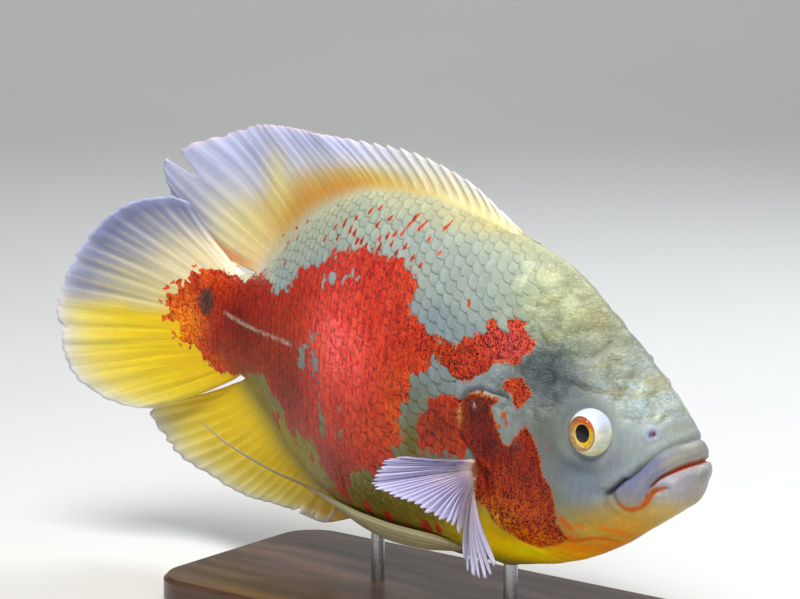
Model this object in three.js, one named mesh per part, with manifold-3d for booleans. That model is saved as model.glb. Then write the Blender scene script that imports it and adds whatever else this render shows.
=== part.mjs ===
// Life-size oscar (a large South American cichlid), swimming with its tail
// swung to one side, held over a flat display base by two short steel rods.
//
// Units are millimetres, +Z up. The origin is the middle of the base's
// underside; +X runs from tail to snout, +Y is the fish's left.
//
// The fish is drawn straight first, in a "rest" frame:
//   s  back from the tip of the upper lip
//   w  out to the fish's right
//   h  up from the body's axis
// and then bent along its backbone by bend(), the way the living fish holds
// itself, and pitched a little nose-down by its group.
import * as THREE from 'three';
import { mergeVertices } from 'three/addons/utils/BufferGeometryUtils.js';
import Module from 'manifold-3d';

const wasm = await Module();
wasm.setup();
const { Manifold, Mesh: SolidMesh } = wasm;

// ---------------------------------------------------------------- sizes
const STANDARD_LENGTH = 240;      // snout to the end of the backbone
const TOTAL_LENGTH = 303;         // snout to the tail fin's edge
const PITCH_DEG = 3.5;            // nose down
const GAP = 0.3;                  // left between neighbouring pieces
const GILL_GAP = 0.5;             // round the gill covers, whose edges curve
const FIN_EDGE = 0.7;             // thickness of a fin at its margin
const EYE_R = 8.5;                // eyeball radius
const EYE = { s: 35.7, w: 15.3, h: 5.2 };
const GILL_COVER_T = 4.0;         // thickness of the gill cover plate

const BASE_L = 190, BASE_W = 92, BASE_T = 10, BASE_CORNER = 16, BASE_CHAMFER = 1.5;
const ROD_R = 2.5, ROD_FRONT_S = 78, ROD_REAR_S = 142;
const CLEARANCE = 13;             // lowest fin to the top of the base
const LOWEST = 61;                // lowest fin below the body's axis
const AXIS_Z = BASE_T + CLEARANCE + LOWEST;

// heading of the backbone, in degrees from the snout-to-tail line
const SPINE = [[0, 1], [50, 1], [75, 4.3], [120, 5.5], [175, 11], [215, 9.5], [250, -18], [300, -27]];

// body stations: distance from the snout, top and bottom of the outline,
// half width, and the height at which the body is widest
const BODY = [
  // s,    top,   bottom, half, widest
  [2.6,   -2.4,   -9.4,   3.4,  -5.5],   // lower lip
  [4.4,   -0.4,  -15.4,   8.0,  -5.2],   // upper lip
  [7.5,    4.2,  -17.9,  11.6,  -5.0],
  [12.7,  13.0,  -22.2,  14.2,  -5.0],   // snout
  [21.5,  23.4,  -28.9,  17.0,  -4.5],   // nostril
  [32,    32.9,  -36.6,  19.3,  -3.5],   // middle of the eye
  [46,    44.2,  -44.4,  21.8,  -2.5],   // back of the eye
  [62,    55.6,  -49.8,  23.6,  -1.0],   // cheek
  [80,    62.0,  -53.6,  24.8,   1.0],   // gill opening, front of the dorsal fin
  [102,   66.8,  -55.2,  24.9,   3.0],
  [124,   69.3,  -55.4,  24.0,   4.0],   // deepest
  [147,   67.6,  -53.8,  21.2,   5.0],
  [165,   62.0,  -50.0,  17.6,   5.5],   // front of the anal fin
  [185,   50.2,  -40.5,  13.4,   5.0],
  [203,   33.8,  -26.5,  10.2,   4.0],
  [215,   24.5,  -18.6,   8.4,   3.5],   // peduncle
  [227,   21.6,  -15.6,   6.7,   3.3],
  [236,   18.5,  -12.2,   5.0,   3.3],
  [240,   14.0,   -7.5,   3.2,   3.3],   // end of the backbone
];
const SECTION_AROUND = 24;        // points round each section
const SECTION_STEP = 9;           // spacing of the sections along the body

// ---------------------------------------------------------------- helpers
// monotone cubic through [x, y] pairs
function curve(pairs) {
  const x = pairs.map((p) => p[0]), y = pairs.map((p) => p[1]), n = x.length;
  const d = [], m = new Array(n).fill(0);
  for (let i = 0; i < n - 1; i++) d.push((y[i + 1] - y[i]) / (x[i + 1] - x[i]));
  for (let i = 1; i < n - 1; i++) {
    if (d[i - 1] * d[i] > 0) {
      const a = x[i] - x[i - 1], b = x[i + 1] - x[i], w1 = 2 * b + a, w2 = b + 2 * a;
      m[i] = (w1 + w2) / (w1 / d[i - 1] + w2 / d[i]);
    }
  }
  m[0] = d[0]; m[n - 1] = d[n - 2];
  return (t) => {
    if (t <= x[0]) return y[0] + m[0] * (t - x[0]);
    if (t >= x[n - 1]) return y[n - 1] + m[n - 1] * (t - x[n - 1]);
    let i = 0; while (t > x[i + 1]) i++;
    const h = x[i + 1] - x[i], u = (t - x[i]) / h, u2 = u * u, u3 = u2 * u;
    return (2 * u3 - 3 * u2 + 1) * y[i] + (u3 - 2 * u2 + u) * h * m[i]
      + (-2 * u3 + 3 * u2) * y[i + 1] + (u3 - u2) * h * m[i + 1];
  };
}
const lerp = (a, b, t) => a + (b - a) * t;

const bodyTop = curve(BODY.map((r) => [r[0], r[1]]));
const bodyBottom = curve(BODY.map((r) => [r[0], r[2]]));
const bodyHalf = curve(BODY.map((r) => [r[0], r[3]]));
const bodyWidest = curve(BODY.map((r) => [r[0], r[4]]));

// the back is a soft keel, the flanks are flat and the belly is round
const KEEL = curve([[0, 0.57], [30, 0.63], [80, 0.64], [150, 0.64], [240, 0.55]]);
const BACK_FLATNESS = 2.2, BELLY_FLATNESS = 2.5, BELLY_ROUND = 0.54;
// one ring of the body, grown outwards by g
function ring(s, g) {
  const pts = [], c = bodyWidest(s);
  for (let i = 0; i < SECTION_AROUND; i++) {
    const a = (2 * Math.PI * (i + 0.5)) / SECTION_AROUND, ca = Math.cos(a), sa = Math.sin(a), up = ca > 0;
    const H = (up ? bodyTop(s) - c : c - bodyBottom(s)), e = Math.abs(ca);
    const w = bodyHalf(s) * Math.pow(1 - Math.pow(e, up ? BACK_FLATNESS : BELLY_FLATNESS), up ? KEEL(s) : BELLY_ROUND);
    pts.push([s, Math.sign(sa) * w + sa * g, c + ca * (H + g)]);
  }
  return pts;
}

// closed solid through rings of points, ends closed by a fan
function loft(rings) {
  const n = rings[0].length, pos = [], idx = [];
  rings.forEach((r) => r.forEach((p) => pos.push(...p)));
  for (let k = 0; k < rings.length - 1; k++) {
    for (let i = 0; i < n; i++) {
      const a = k * n + i, b = k * n + ((i + 1) % n), c = a + n, d = b + n;
      idx.push(a, b, d, a, d, c);
    }
  }
  [[0, false], [rings.length - 1, true]].forEach(([k, last]) => {
    const r = rings[k], m = [0, 1, 2].map((j) => r.reduce((t, p) => t + p[j], 0) / n), v = pos.length / 3;
    pos.push(...m);
    for (let i = 0; i < n; i++) {
      const a = k * n + i, b = k * n + ((i + 1) % n);
      if (last) idx.push(v, a, b); else idx.push(v, b, a);
    }
  });
  return indexed(pos, idx);
}
// closed plate about a grid of points; half(i, j) is half its thickness
function plate(grid, half) {
  const nu = grid.length, nv = grid[0].length, pos = [], idx = [];
  const P = (i, j) => new THREE.Vector3(...grid[Math.min(nu - 1, Math.max(0, i))][Math.min(nv - 1, Math.max(0, j))]);
  for (const side of [1, -1]) {
    for (let i = 0; i < nu; i++) for (let j = 0; j < nv; j++) {
      const du = P(i + 1, j).sub(P(i - 1, j)), dv = P(i, j + 1).sub(P(i, j - 1));
      const nrm = du.cross(dv).normalize();
      const q = P(i, j).addScaledVector(nrm, side * half(i, j));
      pos.push(q.x, q.y, q.z);
    }
  }
  const A = (i, j) => i * nv + j, B = (i, j) => nu * nv + i * nv + j;
  for (let i = 0; i < nu - 1; i++) for (let j = 0; j < nv - 1; j++) {
    idx.push(A(i, j), A(i + 1, j), A(i + 1, j + 1), A(i, j), A(i + 1, j + 1), A(i, j + 1));
    idx.push(B(i, j), B(i + 1, j + 1), B(i + 1, j), B(i, j), B(i, j + 1), B(i + 1, j + 1));
  }
  const rim = [];
  for (let i = 0; i < nu - 1; i++) rim.push([i, 0]);
  for (let j = 0; j < nv - 1; j++) rim.push([nu - 1, j]);
  for (let i = nu - 1; i > 0; i--) rim.push([i, nv - 1]);
  for (let j = nv - 1; j > 0; j--) rim.push([0, j]);
  rim.forEach((p, k) => {
    const q = rim[(k + 1) % rim.length];
    idx.push(A(...p), B(...p), B(...q), A(...p), B(...q), A(...q));
  });
  return indexed(pos, idx);
}
function indexed(pos, idx) {
  const g = new THREE.BufferGeometry();
  g.setAttribute('position', new THREE.Float32BufferAttribute(pos, 3));
  g.setIndex(idx);
  return g;
}
function solid(geometry) {
  let g = geometry.clone();
  g.deleteAttribute('normal'); g.deleteAttribute('uv');
  g = mergeVertices(g, 1e-4);
  const p = g.getAttribute('position').array, t = Array.from(g.index.array);
  let six = 0;
  for (let i = 0; i < t.length; i += 3) {
    const [a, b, c] = [t[i] * 3, t[i + 1] * 3, t[i + 2] * 3];
    six += p[a] * (p[b + 1] * p[c + 2] - p[b + 2] * p[c + 1])
      - p[a + 1] * (p[b] * p[c + 2] - p[b + 2] * p[c]) + p[a + 2] * (p[b] * p[c + 1] - p[b + 1] * p[c]);
  }
  if (six < 0) for (let i = 0; i < t.length; i += 3) [t[i + 1], t[i + 2]] = [t[i + 2], t[i + 1]];
  return new Manifold(new SolidMesh({ numProp: 3, vertProperties: new Float32Array(p), triVerts: new Uint32Array(t) }));
}
function geometryOf(m) {
  const mesh = m.getMesh(), n = mesh.numProp, count = mesh.vertProperties.length / n, pos = [];
  for (let i = 0; i < count; i++) pos.push(mesh.vertProperties[i * n], mesh.vertProperties[i * n + 1], mesh.vertProperties[i * n + 2]);
  return indexed(pos, Array.from(mesh.triVerts));
}
const largest = (m) => m.decompose().sort((a, b) => b.volume() - a.volume())[0];

// prism across the body from an outline in (s, h)
function prism(outline, w0, w1) {
  const g = new THREE.ExtrudeGeometry(new THREE.Shape(outline.map((p) => new THREE.Vector2(...p))),
    { depth: w1 - w0, bevelEnabled: false, steps: 1 });
  g.rotateX(Math.PI / 2);            // outline to (s, h), depth to -w
  g.translate(0, w1, 0);
  return solid(g);
}
// closed outline moved inwards by d
function inset(outline, d) {
  const n = outline.length, area = outline.reduce((t, p, i) => {
    const q = outline[(i + 1) % n]; return t + p[0] * q[1] - p[1] * q[0];
  }, 0), turn = area > 0 ? 1 : -1;
  return outline.map((p, i) => {
    const a = outline[(i + n - 1) % n], b = outline[(i + 1) % n];
    const e = new THREE.Vector2(b[0] - a[0], b[1] - a[1]).normalize();
    return [p[0] - turn * e.y * d, p[1] + turn * e.x * d];
  });
}
// thin cut across the body along an open line in (s, h)
function cut(line, width) {
  const side = (k) => line.map((p, i) => {
    const a = line[Math.max(0, i - 1)], b = line[Math.min(line.length - 1, i + 1)];
    const e = new THREE.Vector2(b[0] - a[0], b[1] - a[1]).normalize();
    return [p[0] - e.y * k, p[1] + e.x * k];
  });
  return prism([...side(width / 2), ...side(-width / 2).reverse()], -60, 60);
}

// ---------------------------------------------------------------- pose
const heading = curve(SPINE);
const SPINE_STEP = 1, SPINE_FROM = -10, SPINE_TO = 330;
const spinePoints = [];
{
  let x = 0, y = 0;
  for (let s = SPINE_FROM; s <= SPINE_TO; s += SPINE_STEP) {
    const a = THREE.MathUtils.degToRad(heading(Math.min(300, Math.max(0, s))));
    spinePoints.push([x, y, a]);
    const b = THREE.MathUtils.degToRad(heading(Math.min(300, Math.max(0, s + SPINE_STEP / 2))));
    x -= Math.cos(b) * SPINE_STEP; y += Math.sin(b) * SPINE_STEP;
  }
  const [cx, cy] = spinePoints[(120 - SPINE_FROM) / SPINE_STEP];
  spinePoints.forEach((p) => { p[0] -= cx; p[1] -= cy; });
}
function bend(s, w, h) {
  const t = (s - SPINE_FROM) / SPINE_STEP, i = Math.min(spinePoints.length - 2, Math.max(0, Math.floor(t))), f = t - i;
  const [x, y, a] = [0, 1, 2].map((k) => lerp(spinePoints[i][k], spinePoints[i + 1][k], f));
  return [x - w * Math.sin(a), y - w * Math.cos(a), h];
}
function posed(geometry) {
  const g = geometry.clone(), p = g.getAttribute('position');
  for (let i = 0; i < p.count; i++) p.setXYZ(i, ...bend(p.getX(i), p.getY(i), p.getZ(i)));
  return g;
}

// ---------------------------------------------------------------- body
function bodySolid(grow, inWidth = 0) {
  const s0 = BODY[0][0] - grow, s1 = STANDARD_LENGTH + grow, stations = [s0, 3.4, 4.6, 6.4, 9, 12.5];
  for (let s = 18; s < 205; s += SECTION_STEP) stations.push(s);
  for (let s = 205; s < 237; s += 5.5) stations.push(s);
  stations.push(237.5, s1);
  return solid(loft(stations.map((s) => ring(s, grow).map((p) => [p[0], Math.sign(p[1]) * Math.max(0.4, Math.abs(p[1]) - inWidth), p[2]]))));
}
const bodyWhole = bodySolid(0);
const bodyGrown = bodySolid(GAP);

// where the head, jaws, trunk and tail part
const GILL_LINE = [[64, 80], [69, 52], [71.5, 30], [72.4, 13], [71.6, 4], [73, -8], [70, -18], [66, -30], [58, -41], [50, -49], [46, -70]];
const TAIL_LINE = [[206, 60], [206, 20], [204, -40]];
const LIP_LINE = [[-2, 4.4], [5, 4.7], [8.9, 4.4], [10.7, 2.5], [13.7, -0.7], [16.5, -3.8], [19.6, -7], [24.2, -10.5], [26.8, -13.2], [26.2, -16], [24.2, -18], [20, -19.3], [16.7, -17.6],
  [13.8, -12], [11.6, -7.9], [9, -5.2], [5.6, -2.1], [3.6, -0.8], [-2, -0.8]];
const JAW_LINE = [[25.9, -16.4], [31, -21], [37, -28.5], [42, -39], [43, -60]];
// outline of the gill cover, from its upper corner round the free flap
const GILL_COVER = [[57, 6.5], [63, 11], [70.5, 11.6], [74, 12.9], [79, 12], [83.6, 9.2], [85.6, 4], [84.2, -2.6], [81, -7.6],
  [76.4, -12.6], [72.4, -17.4], [71.4, -24], [69.4, -30], [66, -35], [61, -38.6], [54, -41.6], [44, -40.6], [38, -36.6], [43.6, -34.9], [48.7, -32.4],
  [50.6, -27], [51.4, -20], [51.8, -13], [53, -6], [55.6, 1]];

let cutBody = bodyWhole.subtract(cut(GILL_LINE, GAP)).subtract(cut(TAIL_LINE, GAP))
  .subtract(cut(LIP_LINE, GAP)).subtract(cut(JAW_LINE, GAP));
const gillInner = bodySolid(0, GILL_COVER_T), gillInnerDeep = bodySolid(0, GILL_COVER_T + GILL_GAP);
const gillCover = {};
for (const [name, w0, w1] of [['right', 6, 60], ['left', -60, -6]]) {
  const pocket = prism(GILL_COVER, w0, w1).subtract(gillInnerDeep);
  gillCover[name] = largest(bodyWhole.intersect(prism(inset(GILL_COVER, GILL_GAP), w0, w1)).subtract(gillInner));
  cutBody = cutBody.subtract(pocket);
}
for (const side of [1, -1]) {
  const socket = new THREE.SphereGeometry(EYE_R + GAP, 18, 12);
  socket.translate(EYE.s, side * EYE.w, EYE.h);
  cutBody = cutBody.subtract(solid(socket));
}
const part = {};
cutBody.decompose().filter((m) => m.volume() > 100).forEach((m) => {
  const b = m.boundingBox();
  if (b.min[0] > 195) part.tail = m;
  else if (b.max[0] > 150) part.trunk = m;
  else if (b.max[0] < 30) part.upper_lip = m;
  else if (b.max[2] < 2) part.lower_jaw = m;
  else part.head = m;
});

// ---------------------------------------------------------------- fins
// A fin is a fan of rays: ray u runs from its root on the body to its tip on
// the free edge. The sheet leans out to the side by lean(s).
// curl(u) bows a ray to one side by a share of its length.
function fanFin({ roots, tips, rays, steps, lean, half, curl, sink = 3 }) {
  const rs = curve(roots.map((p) => [p[0], p[1]])), rh = curve(roots.map((p) => [p[0], p[2]]));
  const ts = curve(tips.map((p) => [p[0], p[1]])), th = curve(tips.map((p) => [p[0], p[2]]));
  const grid = [];
  for (let i = 0; i < rays; i++) {
    const u = i / (rays - 1), a = [rs(u), rh(u)], b = [ts(u), th(u)], row = [];
    const len = Math.hypot(b[0] - a[0], b[1] - a[1]) || 1, dx = (b[0] - a[0]) / len, dy = (b[1] - a[1]) / len;
    for (let j = 0; j <= steps; j++) {
      const v = j / steps, bow = curl(u) * Math.sin(Math.PI * v) * len;
      const s = a[0] + dx * (v * (len + sink) - sink) - dy * bow, h = a[1] + dy * (v * (len + sink) - sink) + dx * bow;
      row.push([s, lean(s, h), h]);
    }
    grid.push(row);
  }
  return plate(grid, (i, j) => half(i / (rays - 1), j / steps));
}
const thin = (rootHalf) => (u, v) => lerp(rootHalf, FIN_EDGE / 2, Math.pow(v, 0.6));
// rear lobes of the dorsal and anal fins trail straighter than the tail, so
// they pass it on the fish's left
const LOBE_FROM = 205, LOBE_LEAN = 9, LOBE_OVER = 60;
const lobeLean = (s) => -LOBE_LEAN * Math.pow(Math.max(0, s - LOBE_FROM) / LOBE_OVER, 2);

// [u, s, h] along the fin's root and along its free edge
const DORSAL_ROOT = [0, 0.15, 0.35, 0.55, 0.75, 0.9, 1].map((u, k) => {
  const s = [81, 98, 124, 151, 180, 202, 212.5][k]; return [u, s, bodyTop(s) - 0.6];
});
const DORSAL_TIP = [[0, 88, 66.5], [0.15, 109, 77.5], [0.35, 141, 83.2], [0.55, 177, 82.2], [0.72, 213, 80.8], [0.84, 240, 72.4], [0.93, 264.5, 59], [1, 260, 45.4]];
const ANAL_ROOT = [0, 0.25, 0.5, 0.75, 1].map((u, k) => {
  const s = [162, 176, 190, 204, 219][k]; return [u, s, bodyBottom(s) + 0.6];
});
const ANAL_TIP = [[0, 165, -57], [0.07, 171.5, -62.2], [0.16, 182, -61.9], [0.28, 196, -62.2], [0.5, 221, -63.8], [0.66, 243, -59.5], [0.76, 254, -54.8],
  [0.86, 261.5, -47.8], [0.94, 267, -40.5], [1, 264, -37.2]];
const CAUDAL_ROOT = [[0, 222, 21.8], [0.15, 231, 17], [0.3, 235, 11], [0.5, 237, 3], [0.7, 235, -5], [0.85, 230, -11], [1, 222, -16]];
const CAUDAL_TIP = [[0, 249.4, 46.1], [0.05, 256.5, 47.9], [0.11, 266, 46.4], [0.2, 278, 41.3], [0.31, 288, 32], [0.42, 295.6, 21], [0.51, 300.6, 9],
  [0.59, TOTAL_LENGTH, -1.5], [0.66, 301, -9], [0.74, 300, -17], [0.82, 295, -26.4], [0.89, 285, -33], [0.95, 274, -36.2], [1, 263, -36.6]];
// the dorsal's last rays droop to the tail, and the tail's outer rays curve apart
const dorsalCurl = (u) => lerp(0.03, -0.095, Math.max(0, (u - 0.86) / 0.14));
const caudalCurl = (u) => -0.08 * Math.max(0, 1 - u / 0.14) - 0.035 * Math.max(0, (u - 0.88) / 0.12);

const dorsal = fanFin({ roots: DORSAL_ROOT, tips: DORSAL_TIP, rays: 24, steps: 4, half: thin(1.5), lean: lobeLean, curl: dorsalCurl });
const anal = fanFin({ roots: ANAL_ROOT, tips: ANAL_TIP, rays: 17, steps: 4, half: thin(1.4), lean: lobeLean, curl: () => -0.02 });

const caudal = fanFin({
  roots: CAUDAL_ROOT, tips: CAUDAL_TIP, rays: 20, steps: 5, lean: () => 0, sink: 4, curl: caudalCurl,
  half: (u, v) => (0.45 + 0.55 * Math.sqrt(Math.sin(Math.PI * Math.min(1, Math.max(0, u))))) * 4.2 * Math.pow(1 - v, 2.6) + FIN_EDGE / 2,
});

// pectoral fin: [u, s, w, h] of each ray's tip from the fin's root, and the
// short slanting root itself
const PECTORAL_ROOT = [[0, 76.2, 23, -12.4], [1, 78.6, 22.2, -20.4]], PECTORAL_MID = [77.6, 22.4, -16.2];
const PECTORAL_TIP = [[0, 11.2, 24, 6.5], [0.1, 14.4, 28.5, 5.3], [0.2, 15.6, 32, 1.8], [0.3, 15.7, 34, -2.4], [0.42, 9.6, 32, -4.8], [0.54, 2.4, 28.5, -7.2],
  [0.65, -3.1, 22.6, -11.6], [0.76, -6.8, 15.6, -16.3], [0.82, -7.4, 10.5, -30.8], [0.88, -9.8, 7.6, -33.8], [0.94, -12.2, 5, -34], [1, -14.4, 2.5, -28]];
function pectoral(side) {
  const f = [1, 2, 3].map((k) => curve(PECTORAL_TIP.map((p) => [p[0], p[k]])));
  const rays = 19, steps = 4, grid = [];
  for (let i = 0; i < rays; i++) {
    const u = i / (rays - 1), r = [1, 2, 3].map((k) => lerp(PECTORAL_ROOT[0][k], PECTORAL_ROOT[1][k], u));
    const t = PECTORAL_MID.map((m, k) => m + f[k](u)), row = [];
    for (let j = 0; j <= steps; j++) {
      const v = j / steps, q = [0, 1, 2].map((k) => lerp(r[k], t[k], v));
      q[1] += 1.6 * Math.sin(Math.PI * v) - (j === 0 ? 2.2 : 0);
      row.push([q[0], side * q[1], q[2]]);
    }
    grid.push(row);
  }
  return plate(grid, (i, j) => lerp(0.9, FIN_EDGE / 2, j / steps));
}

// pelvic fin: a narrow folded blade that trails into a filament.
// [s, w, h, half height, half thickness, lean in degrees]
const PELVIC_RIGHT = [[91, 10.6, -49.2, 1.4, 1.1, 30], [97, 13.0, -49.0, 3.4, 1.1, 30], [108, 14.2, -49.9, 4.6, 0.9, 28], [124, 13.8, -50.8, 4.8, 0.8, 26], [138, 12.0, -50.6, 3.8, 0.8, 22],
  [150, 9.6, -49.8, 2.2, 0.7, 14], [160, 7.4, -49.3, 1.2, 0.65, 6], [177, 4.8, -48.6, 0.6, 0.6, 0], [193, 3.8, -48.4, 0.5, 0.5, 0], [210, 3.2, -47.0, 0.45, 0.45, 0], [227, 2.6, -44.2, 0.4, 0.4, 0], [240, 2.2, -38.4, 0.35, 0.35, 0]];
const PELVIC_LEFT = [[91, 10.6, -49.8, 1.4, 1.1, 30], [97, 12.4, -49.8, 3.2, 1.1, 26], [110, 12.0, -50.6, 4.2, 0.9, 20], [128, 10.2, -51.6, 4.4, 0.8, 12], [146, 8.4, -52.4, 3.6, 0.8, 6],
  [158, 7.4, -54.8, 2.6, 0.7, 2], [168, 6.8, -58.6, 2.6, 0.65, 0], [177, 6.3, -61.9, 2.6, 0.6, 0], [185, 6.0, -63.6, 1.6, 0.5, 0], [191, 5.8, -64.4, 0.6, 0.4, 0]];
function pelvic(table, side) {
  const f = [1, 2, 3, 4, 5].map((k) => curve(table.map((r) => [r[0], r[k]]))), rings = [];
  const from = table[0][0], to = table[table.length - 1][0], n = 8;
  for (let s = from; s < to + 0.1; s += (to - from) / Math.round((to - from) / 6.5)) {
    const [w, h, a, b, lean] = f.map((g) => g(s)), t = THREE.MathUtils.degToRad(lean), row = [];
    for (let i = 0; i < n; i++) {
      const p = (2 * Math.PI * i) / n, x = b * Math.sin(p), y = a * Math.cos(p);
      row.push([s, side * (w + x * Math.cos(t) + y * Math.sin(t)), h + y * Math.cos(t) - x * Math.sin(t)]);
    }
    rings.push(row);
  }
  return loft(rings);
}

const finOf = (g) => largest(solid(g).subtract(bodyGrown));
part.dorsal_fin = finOf(dorsal);
part.anal_fin = finOf(anal);
part.caudal_fin = finOf(caudal);
part.pectoral_fin_right = finOf(pectoral(1));
part.pectoral_fin_left = finOf(pectoral(-1));
part.pelvic_fin_right = finOf(pelvic(PELVIC_RIGHT, 1));
part.pelvic_fin_left = finOf(pelvic(PELVIC_LEFT, -1));
part.gill_cover_right = gillCover.right;
part.gill_cover_left = gillCover.left;

// ---------------------------------------------------------------- assembly
const finish = (color, roughness, metalness = 0) => new THREE.MeshStandardMaterial({ color, roughness, metalness });
const COLOURS = {
  head: '#c9d2cb', upper_lip: '#b4b9c6', lower_jaw: '#d5c79a', gill_cover_right: '#cf5a26', gill_cover_left: '#cf5a26',
  trunk: '#d4502f', tail: '#c2401f', dorsal_fin: '#d8d4c4', anal_fin: '#c9b52c', caudal_fin: '#e0d27a',
  pectoral_fin_right: '#d3cfe6', pectoral_fin_left: '#d3cfe6', pelvic_fin_right: '#d9d3b4', pelvic_fin_left: '#d9cf9a',
};
const root = new THREE.Group();
root.name = 'oscar_fish';
const fish = new THREE.Group();
fish.position.set(0, 0, AXIS_Z);
fish.rotation.y = THREE.MathUtils.degToRad(PITCH_DEG);
root.add(fish);
for (const [name, m] of Object.entries(part)) {
  const mesh = new THREE.Mesh(posed(geometryOf(m)), finish(COLOURS[name], 0.45));
  mesh.name = name;
  fish.add(mesh);
}
for (const [name, side] of [['eye_right', 1], ['eye_left', -1]]) {
  const mesh = new THREE.Mesh(new THREE.SphereGeometry(EYE_R, 18, 12), finish('#e9e7d2', 0.15));
  mesh.position.set(...bend(EYE.s, side * EYE.w, EYE.h));
  mesh.name = name;
  fish.add(mesh);
}

// ---------------------------------------------------------------- stand
function roundedRect(l, w, r) {
  const s = new THREE.Shape(), x = l / 2, y = w / 2;
  s.moveTo(-x + r, -y); s.lineTo(x - r, -y); s.absarc(x - r, -y + r, r, -Math.PI / 2, 0);
  s.lineTo(x, y - r); s.absarc(x - r, y - r, r, 0, Math.PI / 2);
  s.lineTo(-x + r, y); s.absarc(-x + r, y - r, r, Math.PI / 2, Math.PI);
  s.lineTo(-x, -y + r); s.absarc(-x + r, -y + r, r, Math.PI, 1.5 * Math.PI);
  return s;
}
const baseShape = new THREE.ExtrudeGeometry(roundedRect(BASE_L - 2 * BASE_CHAMFER, BASE_W - 2 * BASE_CHAMFER, BASE_CORNER - BASE_CHAMFER),
  { depth: BASE_T - 2 * BASE_CHAMFER, bevelEnabled: true, bevelSize: BASE_CHAMFER, bevelThickness: BASE_CHAMFER, bevelSegments: 1, curveSegments: 6 });
baseShape.translate(0, 0, BASE_CHAMFER);
const base = new THREE.Mesh(geometryOf(solid(baseShape)), finish('#3a2a1e', 0.5));
base.name = 'stand_base';
root.add(base);

fish.updateMatrix();
const bodyInPlace = solid(posed(geometryOf(bodyGrown)).applyMatrix4(fish.matrix));
for (const [name, s] of [['stand_rod_front', ROD_FRONT_S], ['stand_rod_rear', ROD_REAR_S]]) {
  const foot = new THREE.Vector3(...bend(s, 0, bodyBottom(s))).applyMatrix4(fish.matrix);
  const tall = foot.z + 4 - BASE_T, rod = new THREE.CylinderGeometry(ROD_R, ROD_R, tall, 16);
  rod.rotateX(Math.PI / 2);
  rod.translate(foot.x, foot.y, BASE_T + tall / 2);
  const mesh = new THREE.Mesh(geometryOf(largest(solid(rod).subtract(bodyInPlace))), finish('#b9bcc0', 0.3, 1));
  mesh.name = name;
  root.add(mesh);
}

export default root;
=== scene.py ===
# Looks of a life-size oscar fish model on a display stand.
#
# Lengths are millimetres until the very end of each piece. The fish is drawn
# straight in a rest frame (s back from the snout, w out to the fish's right,
# h up from the body's axis), painted there, and then bent and pitched into
# its swimming pose.
import bpy, math
import numpy as np
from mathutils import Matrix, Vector
from mathutils.kdtree import KDTree
from mathutils.bvhtree import BVHTree


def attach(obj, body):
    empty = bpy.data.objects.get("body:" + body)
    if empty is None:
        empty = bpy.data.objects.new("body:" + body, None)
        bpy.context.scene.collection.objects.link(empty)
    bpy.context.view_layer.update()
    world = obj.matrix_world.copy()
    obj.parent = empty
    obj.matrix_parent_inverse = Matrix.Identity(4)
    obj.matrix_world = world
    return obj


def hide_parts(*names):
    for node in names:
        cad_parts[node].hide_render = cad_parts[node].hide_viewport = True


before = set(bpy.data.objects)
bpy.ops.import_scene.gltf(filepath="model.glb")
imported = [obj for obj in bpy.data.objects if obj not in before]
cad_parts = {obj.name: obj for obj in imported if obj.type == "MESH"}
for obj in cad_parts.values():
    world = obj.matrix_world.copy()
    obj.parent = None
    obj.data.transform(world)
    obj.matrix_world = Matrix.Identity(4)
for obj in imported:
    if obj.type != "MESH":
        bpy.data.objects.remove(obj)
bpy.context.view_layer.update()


# ------------------------------------------------------------------ helpers
def curve(pairs):
    """Monotone cubic through (x, y) pairs, straight beyond its ends."""
    x = np.array([p[0] for p in pairs], float)
    y = np.array([p[1] for p in pairs], float)
    n = len(x)
    d = (y[1:] - y[:-1]) / (x[1:] - x[:-1])
    m = np.zeros(n)
    for i in range(1, n - 1):
        if d[i - 1] * d[i] > 0:
            a, b = x[i] - x[i - 1], x[i + 1] - x[i]
            w1, w2 = 2 * b + a, b + 2 * a
            m[i] = (w1 + w2) / (w1 / d[i - 1] + w2 / d[i])
    m[0], m[-1] = d[0], d[-1]

    def f(t):
        t = np.asarray(t, float)
        i = np.clip(np.searchsorted(x, t, side="left") - 1, 0, n - 2)
        h = x[i + 1] - x[i]
        u = (t - x[i]) / h
        u2, u3 = u * u, u * u * u
        r = ((2 * u3 - 3 * u2 + 1) * y[i] + (u3 - 2 * u2 + u) * h * m[i]
             + (-2 * u3 + 3 * u2) * y[i + 1] + (u3 - u2) * h * m[i + 1])
        r = np.where(t <= x[0], y[0] + m[0] * (t - x[0]), r)
        return np.where(t >= x[-1], y[-1] + m[-1] * (t - x[-1]), r)
    return f


def smooth(a, b, x):
    t = np.clip((np.asarray(x, float) - a) / (b - a), 0, 1)
    return t * t * (3 - 2 * t)


def bell(x, w):
    return np.exp(-(np.asarray(x, float) / w) ** 2)


def lattice(ix, iy, iz, seed):
    v = (ix * 374761393 + iy * 668265263 + iz * 2147483629 + seed * 1274126177) & 0xFFFFFFFF
    v = ((v ^ (v >> 13)) * 1274126177) & 0xFFFFFFFF
    v = ((v ^ (v >> 15)) * 668265263) & 0xFFFFFFFF
    return (v ^ (v >> 16)) / 4294967295.0 * 2 - 1


def noise(p, seed=0):
    """Smooth value noise from -1 to 1 at points p, one lattice cell per unit."""
    p = np.asarray(p, float)
    i = np.floor(p).astype(np.int64)
    f = p - i
    f = f * f * (3 - 2 * f)
    out = 0.0
    for a in (0, 1):
        for b in (0, 1):
            for c in (0, 1):
                w = ((f[:, 0] if a else 1 - f[:, 0]) * (f[:, 1] if b else 1 - f[:, 1])
                     * (f[:, 2] if c else 1 - f[:, 2]))
                out = out + w * lattice(i[:, 0] + a, i[:, 1] + b, i[:, 2] + c, seed)
    return out


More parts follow.
